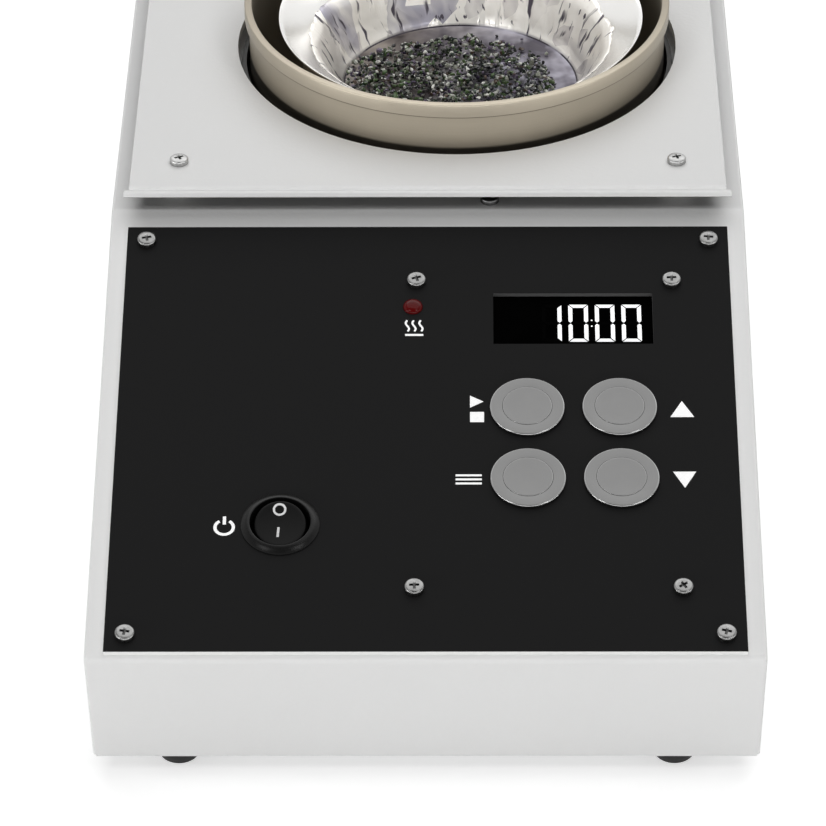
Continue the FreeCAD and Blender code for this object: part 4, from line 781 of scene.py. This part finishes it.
def foil_bowl():
    """Foil pressed into the dish: flat floor, crumpled wall, and a torn edge laid on the lip."""
    profile = [(0.01, FOIL_FLOOR)] + [(37.3 * step / 26, FOIL_FLOOR) for step in range(1, 27)]
    profile += [(37.8, 93.95), (38.4, 94.5), (39.2, 95.6)]
    profile += [(39.9 + 5.5 * step / 20, 96.8 + 11.8 * step / 20) for step in range(21)]
    profile += [(45.85, 109.4), (46.4, 110.2), (47.1, 110.95), (47.8, 111.5), (48.6, FOIL_EDGE)]
    shape = turned(profile, steps=300)
    for vert in shape.verts:
        flat = Vector((vert.co.x, vert.co.y, 0))
        wall = max(0.0, min(1.0, (vert.co.z - FOIL_KNEE) / 2.0))
        flare = max(0.0, min(1.0, (vert.co.z - FOIL_FLARE) / (FOIL_EDGE - FOIL_FLARE)))
        inward = -flat.normalized() if flat.length > 0.1 else Vector()
        share = (0.25 + 0.75 * wall) * (1 - flare)
        stand = max(0.0, crumple(vert.co)) * share
        ragged = flare ** 2 * (0.9 * noise.noise(flat / 9.0) + 0.55 * noise.noise(flat / 2.6))
        vert.co += (inward * wall + Vector((0, 0, 1)) * (1 - wall)) * stand
        vert.co += ragged * (-inward + Vector((0, 0, 0.95)))
    bmesh.ops.recalc_face_normals(shape, faces=shape.faces)
    near_floor = 97
    floor_faces = [face for face in shape.faces if face.calc_center_median().length < near_floor]
    if sum(face.normal.z for face in floor_faces) < 0:
        bmesh.ops.reverse_faces(shape, faces=shape.faces)
    return shape


foil = settle(
    foil_bowl(), "pressed_foil", "dish", "foil", moved(*DISH_PLACE), instead_of=("foil_liner",), crease=70,
)
foil_wall = foil.modifiers.new("thickness", "SOLIDIFY")
foil_wall.thickness = 0.08 * MM
foil_wall.offset = 0.0

GRIT_TONES = [
    (0.002, 0.003, 0.002), (0.004, 0.005, 0.004), (0.004, 0.004, 0.006), (0.009, 0.012, 0.008),
    (0.030, 0.060, 0.016), (0.060, 0.115, 0.032), (0.016, 0.034, 0.020), (0.055, 0.038, 0.078),
    (0.150, 0.115, 0.175), (0.075, 0.046, 0.030), (0.150, 0.155, 0.120), (0.300, 0.310, 0.260),
    (0.620, 0.630, 0.570), (0.820, 0.820, 0.770), (0.006, 0.007, 0.011), (0.085, 0.130, 0.050),
]
HEAP_OUTLINE = [
    (-38, 4.5), (-35, 13), (-26, 20.5), (-14, 26), (0, 29), (10, 27), (20, 20.5), (27, 12.7), (30, 0),
    (31, -14),
]
HEAP_DEPTH = 7.0
HEAP_REACH = 36.9
GRANULES = 3000
CHIP_KINDS = 8


def heap_edge(x):
    """How far back the granules reach, at a distance across from the dish's centre."""
    for (x0, y0), (x1, y1) in zip(HEAP_OUTLINE, HEAP_OUTLINE[1:]):
        if x <= x1:
            return y0 + (y1 - y0) * (x - x0) / (x1 - x0)
    return -30.0


def heap_height(x, y):
    """Depth of the granules over the dish's floor, with lumps and thin places."""
    edge = heap_edge(x) + 2.4 * noise.noise(Vector((x / 5.0, y / 5.0, 0))) - y
    lumps = 0.62 + 0.75 * noise.noise(Vector((x / 6.0, y / 6.0, 5.0)))
    return HEAP_DEPTH * max(0.0, min(edge / 10.0, 1.0)) * max(0.15, lumps)


def granule_heap(count):
    """A loose heap of chips, each with its own size, turn and tone."""
    pick = random.Random(5)
    seed = bmesh.new()
    bmesh.ops.create_icosphere(seed, subdivisions=1, radius=1.0)
    chips = []
    for number in range(CHIP_KINDS):
        chip = seed.copy()
        for vert in chip.verts:
            vert.co *= pick.uniform(0.55, 1.2)
        chips.append(mesh_of(chip))
    seed.free()
    placed = []
    tones = []
    while len(placed) < count:
        x = pick.uniform(-38, 32)
        y = pick.uniform(-37, 31)
        depth = heap_height(x, y)
        thin = depth < 2.2 and noise.noise(Vector((x / 3.2, y / 3.2, 8.0))) < 0.02
        if math.hypot(x, y) > HEAP_REACH:
            continue
        if (depth < 0.5 and pick.random() > 0.03) or (thin and pick.random() > 0.12):
            continue
        size = pick.uniform(0.50, 1.15)
        layer = 1 - pick.random() ** 2.4
        z = DISH_FLOOR + 0.8 + size * 0.6 + depth * layer
        tip = Matrix.Rotation(pick.uniform(0, pi), 4, "X")
        turn = tip @ Matrix.Rotation(pick.uniform(0, 2 * pi), 4, "Z")
        stretch = Matrix.Diagonal((size, size * pick.uniform(0.5, 1.0), size * pick.uniform(0.35, 0.9), 1))
        placed.append((chips[pick.randrange(len(chips))], moved(x, y, z) @ turn @ stretch))
        tones.append(GRIT_TONES[pick.randrange(len(GRIT_TONES))])
    return gathered(placed), tones


heap, tones = granule_heap(GRANULES)
charge = settle(
    heap, "granule_heap", "dish", "granules", moved(*DISH_PLACE), instead_of=("sample_charge",), crease=20,
)
per_chip = len(charge.data.vertices) // len(tones)
tone_layer = charge.data.color_attributes.new("tone", "FLOAT_COLOR", "POINT")
chip_colours = [part for tone in tones for repeat in range(per_chip) for part in (*tone, 1.0)]
tone_layer.data.foreach_set("color", chip_colours)


# Push buttons

BUTTONS = {
    "start_stop": (29.9, 93.05),
    "up": (57.35, 93.05),
    "mode": (29.9, 65.6),
    "down": (57.35, 65.6),
}
for key, (x, y) in BUTTONS.items():
    seat = PANEL @ moved(x, y)
    button = key + "_button"
    shell = turned([
        (0, -11.5), (9.4, -11.5), (9.4, PANEL_FACE), (11.15, PANEL_FACE), (11.15, 2.45), (11.10, 2.68),
        (10.96, 2.82), (10.74, 2.89), (10.4, 2.9), (7.50, 2.9), (7.43, 2.88), (7.4, 2.83), (7.4, -3.3),
        (0, -3.3),
    ], steps=128)
    settle(
        shell, button + "_shell", "furnace", "button_metal", seat, crease=50,
        instead_of=(button + "_housing",),
    )
    cap = turned([
        (0, -1.5), (7.37, -1.5), (7.37, 2.86), (7.34, 2.94), (CAP_EDGE, 2.99), (7.05, 3.01), (6.7, 2.99),
        (5.2, 2.92), (2.8, 2.86), (0, 2.85),
    ], steps=128)
    settle(cap, button + "_face", key + "_key", "button_metal", seat, instead_of=(button,), crease=50)


# Rocker switch

SWITCH = PANEL @ moved(-42.5, 48.6)
bezel = turned([
    (0, -17.5), (9.9, -17.5), (9.9, PANEL_FACE), (11.5, PANEL_FACE), (11.5, 1.85), (11.2, 2.15),
    (10.2, 2.75), (9.6, 3.02), (9.15, 3.1), (8.95, 3.02), (8.85, 2.8), (8.85, -6.3), (0, -6.3),
], steps=144)
settle(
    bezel, "switch_bezel", "furnace", "switch_black", SWITCH, finish=BEZEL, crease=30,
    instead_of=("switch_housing",),
)

ROCKER = SWITCH @ moved(0, 0, 0.3) @ Matrix.Rotation(radians(10), 4, "X")


def rocker_top(y):
    """Height of the rocker's hollow face, at a distance from its axis."""
    return 1.7 + 0.9 * (y / 8.7) ** 2


def rocker_shape():
    """Round rocker with a hollowed face: a disc turned in rings, then dished along one axis."""
    profile = [(0, 0)] + [(7.0 * step / 14, 0) for step in range(1, 15)]
    profile += [(7.3, -0.06), (7.5, -0.18), (7.64, -0.36), (7.7, -0.62), (7.7, -5.2), (0, -5.2)]
    shape = turned(profile, steps=120)
    for vert in shape.verts:
        if vert.co.z > -1:
            vert.co.z += rocker_top(vert.co.y)
    return shape


settle(
    rocker_shape(), "rocker_cap", "rocker", "switch_black", ROCKER, instead_of=("switch_rocker",), crease=40,
)


def round_points(x, y, radius, start=0.0, end=2 * pi, count=40):
    """Points along an arc, or all the way round."""
    closed = end - start > 6.28
    steps = count if closed else count - 1
    angles = [start + (end - start) * n / steps for n in range(count)]
    return [(x + radius * cos(angle), y + radius * sin(angle)) for angle in angles]


def rocker_mark(mesh):
    """Lay a flat mark on the rocker's hollow face."""
    shape = gathered([(mesh, Matrix())])
    for vert in shape.verts:
        vert.co.z += rocker_top(vert.co.y) + 0.02
    return shape


off_mark = stroke(round_points(-0.22, 4.85, 1.66), 0.66, closed=True)
settle(rocker_mark(off_mark), "switch_mark_off", "rocker", "switch_black", ROCKER, finish=MARK)
on_mark = stroke([(-0.45 - 0.02 * n, -0.9 - 0.34 * n) for n in range(11)], 0.70)
settle(rocker_mark(on_mark), "switch_mark_on", "rocker", "switch_black", ROCKER, finish=MARK)


# Lamp

LAMP = PANEL @ moved(-4.3, 133.7)
dome = [(2.95 * cos(pi * step / 20), 1.62 + 1.4 * sin(pi * step / 20)) for step in range(11)]
stem = [(0, -7.5), (2.5, -7.5), (2.5, PANEL_FACE), (2.95, PANEL_FACE)]
lens = turned(stem + dome[:-1] + [(0, 3.02)], steps=72)
settle(lens, "lamp_lens", "furnace", "lamp_red", LAMP, instead_of=("indicator_lamp",), crease=35)


# Marks on the panel

def ink(name, shape):
    """Print a mark on the panel's face."""
    settle(shape, name, "furnace", "panel_black", PANEL @ moved(0, 0, PANEL_FACE), finish=INK)


def ink_lines(name, lines, width):
    ink(name, gathered([(stroke(points, width), Matrix()) for points in lines]))


FILM = 0.05
ink("mark_start", sheet_shape([(12.9, 98.2), (12.9, 93.5), (16.9, 95.85)], FILM))
ink("mark_stop", sheet_shape([(12.9, 87.85), (17.05, 87.85), (17.05, 91.8), (12.9, 91.8)], FILM))
ink("mark_up", sheet_shape([(72.35, 89.75), (79.4, 89.75), (75.88, 96.0)], FILM))
ink("mark_down", sheet_shape([(72.5, 68.6), (75.85, 62.45), (79.3, 68.6)], FILM))
ink_lines("mark_mode", [[(8.6, y), (16.3, y)] for y in (64.2, 65.75, 67.3)], 0.75)
opening = radians(32)
power_arc = round_points(-58.8, 47.65, 2.68, pi / 2 + opening, 5 * pi / 2 - opening, 36)
ink_lines("mark_power", [power_arc, [(-58.8, 48.7), (-58.8, 51.7)]], 0.95)


def heat_wave(x):
    """One rising wavy stroke of the heat mark."""
    return [(x + 0.50 * sin(2.0 * pi * n / 16 * 0.95 + 0.2), 123.86 + 4.42 * n / 16) for n in range(17)]


ink_lines("mark_heat", [heat_wave(x) for x in (-5.93, -3.92, -1.84)], 0.62)
ink("mark_heat_base", sheet_shape([(-6.6, 122.02), (-1.1, 122.02), (-1.1, 122.78), (-6.6, 122.78)], FILM))


# Display

SEGMENT = 1.22
DIGIT_WIDTH = 5.95
DIGIT_HEIGHT = 14.95
DIGIT_PITCH = 8.03
DIGITS_RIGHT = 64.74
DIGITS_LOW = 120.9
MITRE = 0.24
GLASS_FACE = 0.03
SEGMENT_FILM = 0.04


def digit_segments():
    """The seven bars of a digit, with mitred ends, from its low left corner."""
    wide, tall, bar, gap = DIGIT_WIDTH, DIGIT_HEIGHT, SEGMENT, MITRE
    middle = tall / 2
    upper_left = [
        (0, tall - gap), (bar, tall - bar - gap), (bar, middle + bar / 2 + gap), (bar / 2, middle + gap),
        (0, middle + bar / 2 + gap),
    ]
    top = [(gap, tall), (bar + gap, tall - bar), (wide - bar - gap, tall - bar), (wide - gap, tall)]
    centre = [
        (bar / 2 + gap, middle), (bar + gap, middle + bar / 2), (wide - bar - gap, middle + bar / 2),
        (wide - bar / 2 - gap, middle), (wide - bar - gap, middle - bar / 2), (bar + gap, middle - bar / 2),
    ]
    across = [(wide - x, y) for x, y in upper_left]
    below = [(x, tall - y) for x, y in upper_left]
    both = [(wide - x, tall - y) for x, y in upper_left]
    base = [(x, tall - y) for x, y in top]
    return {"a": top, "b": across, "c": both, "d": base, "e": below, "f": upper_left, "g": centre}


LIT_BARS = {"0": "abcdef", "1": "bc"}
lit = []
unlit = []
for cell, figure in enumerate("1000"):
    left = DIGITS_RIGHT - DIGIT_WIDTH - DIGIT_PITCH * (3 - cell)
    for bar, corners in digit_segments().items():
        film = mesh_of(sheet_shape(corners, SEGMENT_FILM))
        (lit if bar in LIT_BARS[figure] else unlit).append((film, moved(left, DIGITS_LOW)))
dot = mesh_of(turned([(0, 0), (0.27, 0), (0.27, SEGMENT_FILM), (0, SEGMENT_FILM)], steps=20))
for y in (127.2, 129.5):
    lit.append((dot, moved(49.75, y)))
GLASS = PANEL @ moved(0, 0, GLASS_FACE)
settle(gathered(lit), "lit_digits", "furnace", "window_clear", GLASS, finish=LIT)
settle(gathered(unlit), "unlit_bars", "furnace", "window_clear", GLASS, finish=DIM)


# Finishes of the pieces that keep their made shape

for row in frame["record"]["subparts"]:
    for slot in frame["nodes"][row["node"]].material_slots:
        slot.material = FINISHES[row["material_slot"]]


# Studio

SHEET_SHOWN = 0.56
SHEET_MIRRORED = 0.40
ROOM_LIGHT = 0.07


def stage_sheet():
    """The pale sheet that the furnace stands on, white further out, and with the furnace's shadow."""
    floor = bmesh.new()
    bmesh.ops.create_grid(floor, x_segments=1, y_segments=1, size=9.0)
    mesh = mesh_of(floor, "floor")
    sheet = bpy.data.objects.new("floor", mesh)
    bpy.context.scene.collection.objects.link(sheet)
    paper = Finish("floor_paper")
    ray = paper.node("LightPath", output="Is Camera Ray")
    mirrored = paper.node("LightPath", output="Is Glossy Ray")
    through = paper.node("LightPath", output="Is Transmission Ray")
    reach = paper.node("VectorMath", {"operation": "LENGTH"}, {0: paper.place}, output="Value")
    shown = reach.fade(0.45, 1.10) * (1.0 - SHEET_SHOWN) + SHEET_SHOWN
    seen = (ray.most(through) * shown).most(mirrored * SHEET_MIRRORED)
    matt = paper.node("BsdfDiffuse", None, {"Color": (0.80, 0.80, 0.80, 1.0)})
    light = paper.node("Emission", None, {"Color": (1.0, 1.0, 1.0, 1.0), "Strength": seen})
    paper.node_out(paper.node("AddShader", None, {0: matt, 1: light}))
    mesh.materials.append(paper.material)


class Surround(Finish):
    """The studio's walls and ceiling, mixed by direction."""

    def __init__(self, name):
        world = bpy.data.worlds.new(name)
        world.use_nodes = True
        bpy.context.scene.world = world
        self.tree = world.node_tree
        self.tree.nodes.clear()
        self.place = self.node("TexCoord", output="Generated")


def studio_world():
    """White to the camera; what is mirrored is white too, but dimmer overhead and high up in front."""
    room = Surround("studio")
    level = room.axis("Z")
    ahead = level.fade(0.30, 0.62) * room.axis("Y").fade(0.10, -0.35)
    shown = 1.0 - level.fade(0.62, 0.84).most(ahead) * 0.74
    ray = room.node("LightPath", output="Is Camera Ray")
    mirrored = room.node("LightPath", output="Is Glossy Ray")
    through = room.node("LightPath", output="Is Transmission Ray")
    strength = (mirrored * shown).most(ray.most(through)).most(ROOM_LIGHT)
    white = room.node("Background", None, {"Color": (1.0, 1.0, 1.0, 1.0), "Strength": strength})
    room.node_out(white, "World")


def soft_box(name, place, aim, size, power):
    lamp = bpy.data.lights.new(name, "AREA")
    lamp.shape = "RECTANGLE"
    lamp.size, lamp.size_y = size
    lamp.energy = power
    holder = bpy.data.objects.new(name, lamp)
    bpy.context.scene.collection.objects.link(holder)
    holder.location = place
    holder.rotation_euler = (Vector(aim) - Vector(place)).to_track_quat("-Z", "Y").to_euler()


stage_sheet()
studio_world()
soft_box("back_top_box", (0.12, 0.66, 1.62), (0, 0, 0.1), (2.4, 2.2), 24.5)
soft_box("front_low_box", (0.1, -1.9, 0.24), (0, -0.1, 0.1), (2.2, 0.5), 10.2)
for side, power in ((-1, 9.0), (1, 5.0)):
    soft_box("side_low_box", (1.55 * side, -0.85, 0.16), (0, -0.05, 0.1), (1.2, 0.30), power)
    soft_box("front_lamp", (0.80 * side, -0.90, 1.30), (0, 0, 0.1), (0.40, 0.40), 2.8)


def photo_camera():
    """The camera of the photograph, from its place, its turns and its lens."""
    pitch, yaw, roll = 0.5938023, 0.01178505, -0.00763035
    turn = Matrix.Rotation(yaw, 3, "Z")
    ahead = turn @ Vector((0, cos(pitch), -sin(pitch)))
    up = turn @ Vector((0, sin(pitch), cos(pitch)))
    right = turn @ Vector((1, 0, 0))
    across = cos(roll) * right + sin(roll) * up
    upright = cos(roll) * up - sin(roll) * right
    data = bpy.data.cameras.new("photo_camera")
    data.sensor_fit = "HORIZONTAL"
    data.sensor_width = 36.0
    data.lens = 210.394
    holder = bpy.data.objects.new("photo_camera", data)
    bpy.context.scene.collection.objects.link(holder)
    stand = Matrix((across, upright, -ahead)).transposed().to_4x4()
    holder.matrix_world = Matrix.Translation((0.009967, -1.279125, 0.881311)) @ stand
    bpy.context.scene.camera = holder


photo_camera()
bpy.context.scene.view_settings.view_transform = "Standard"

bpy.context.view_layer.update()
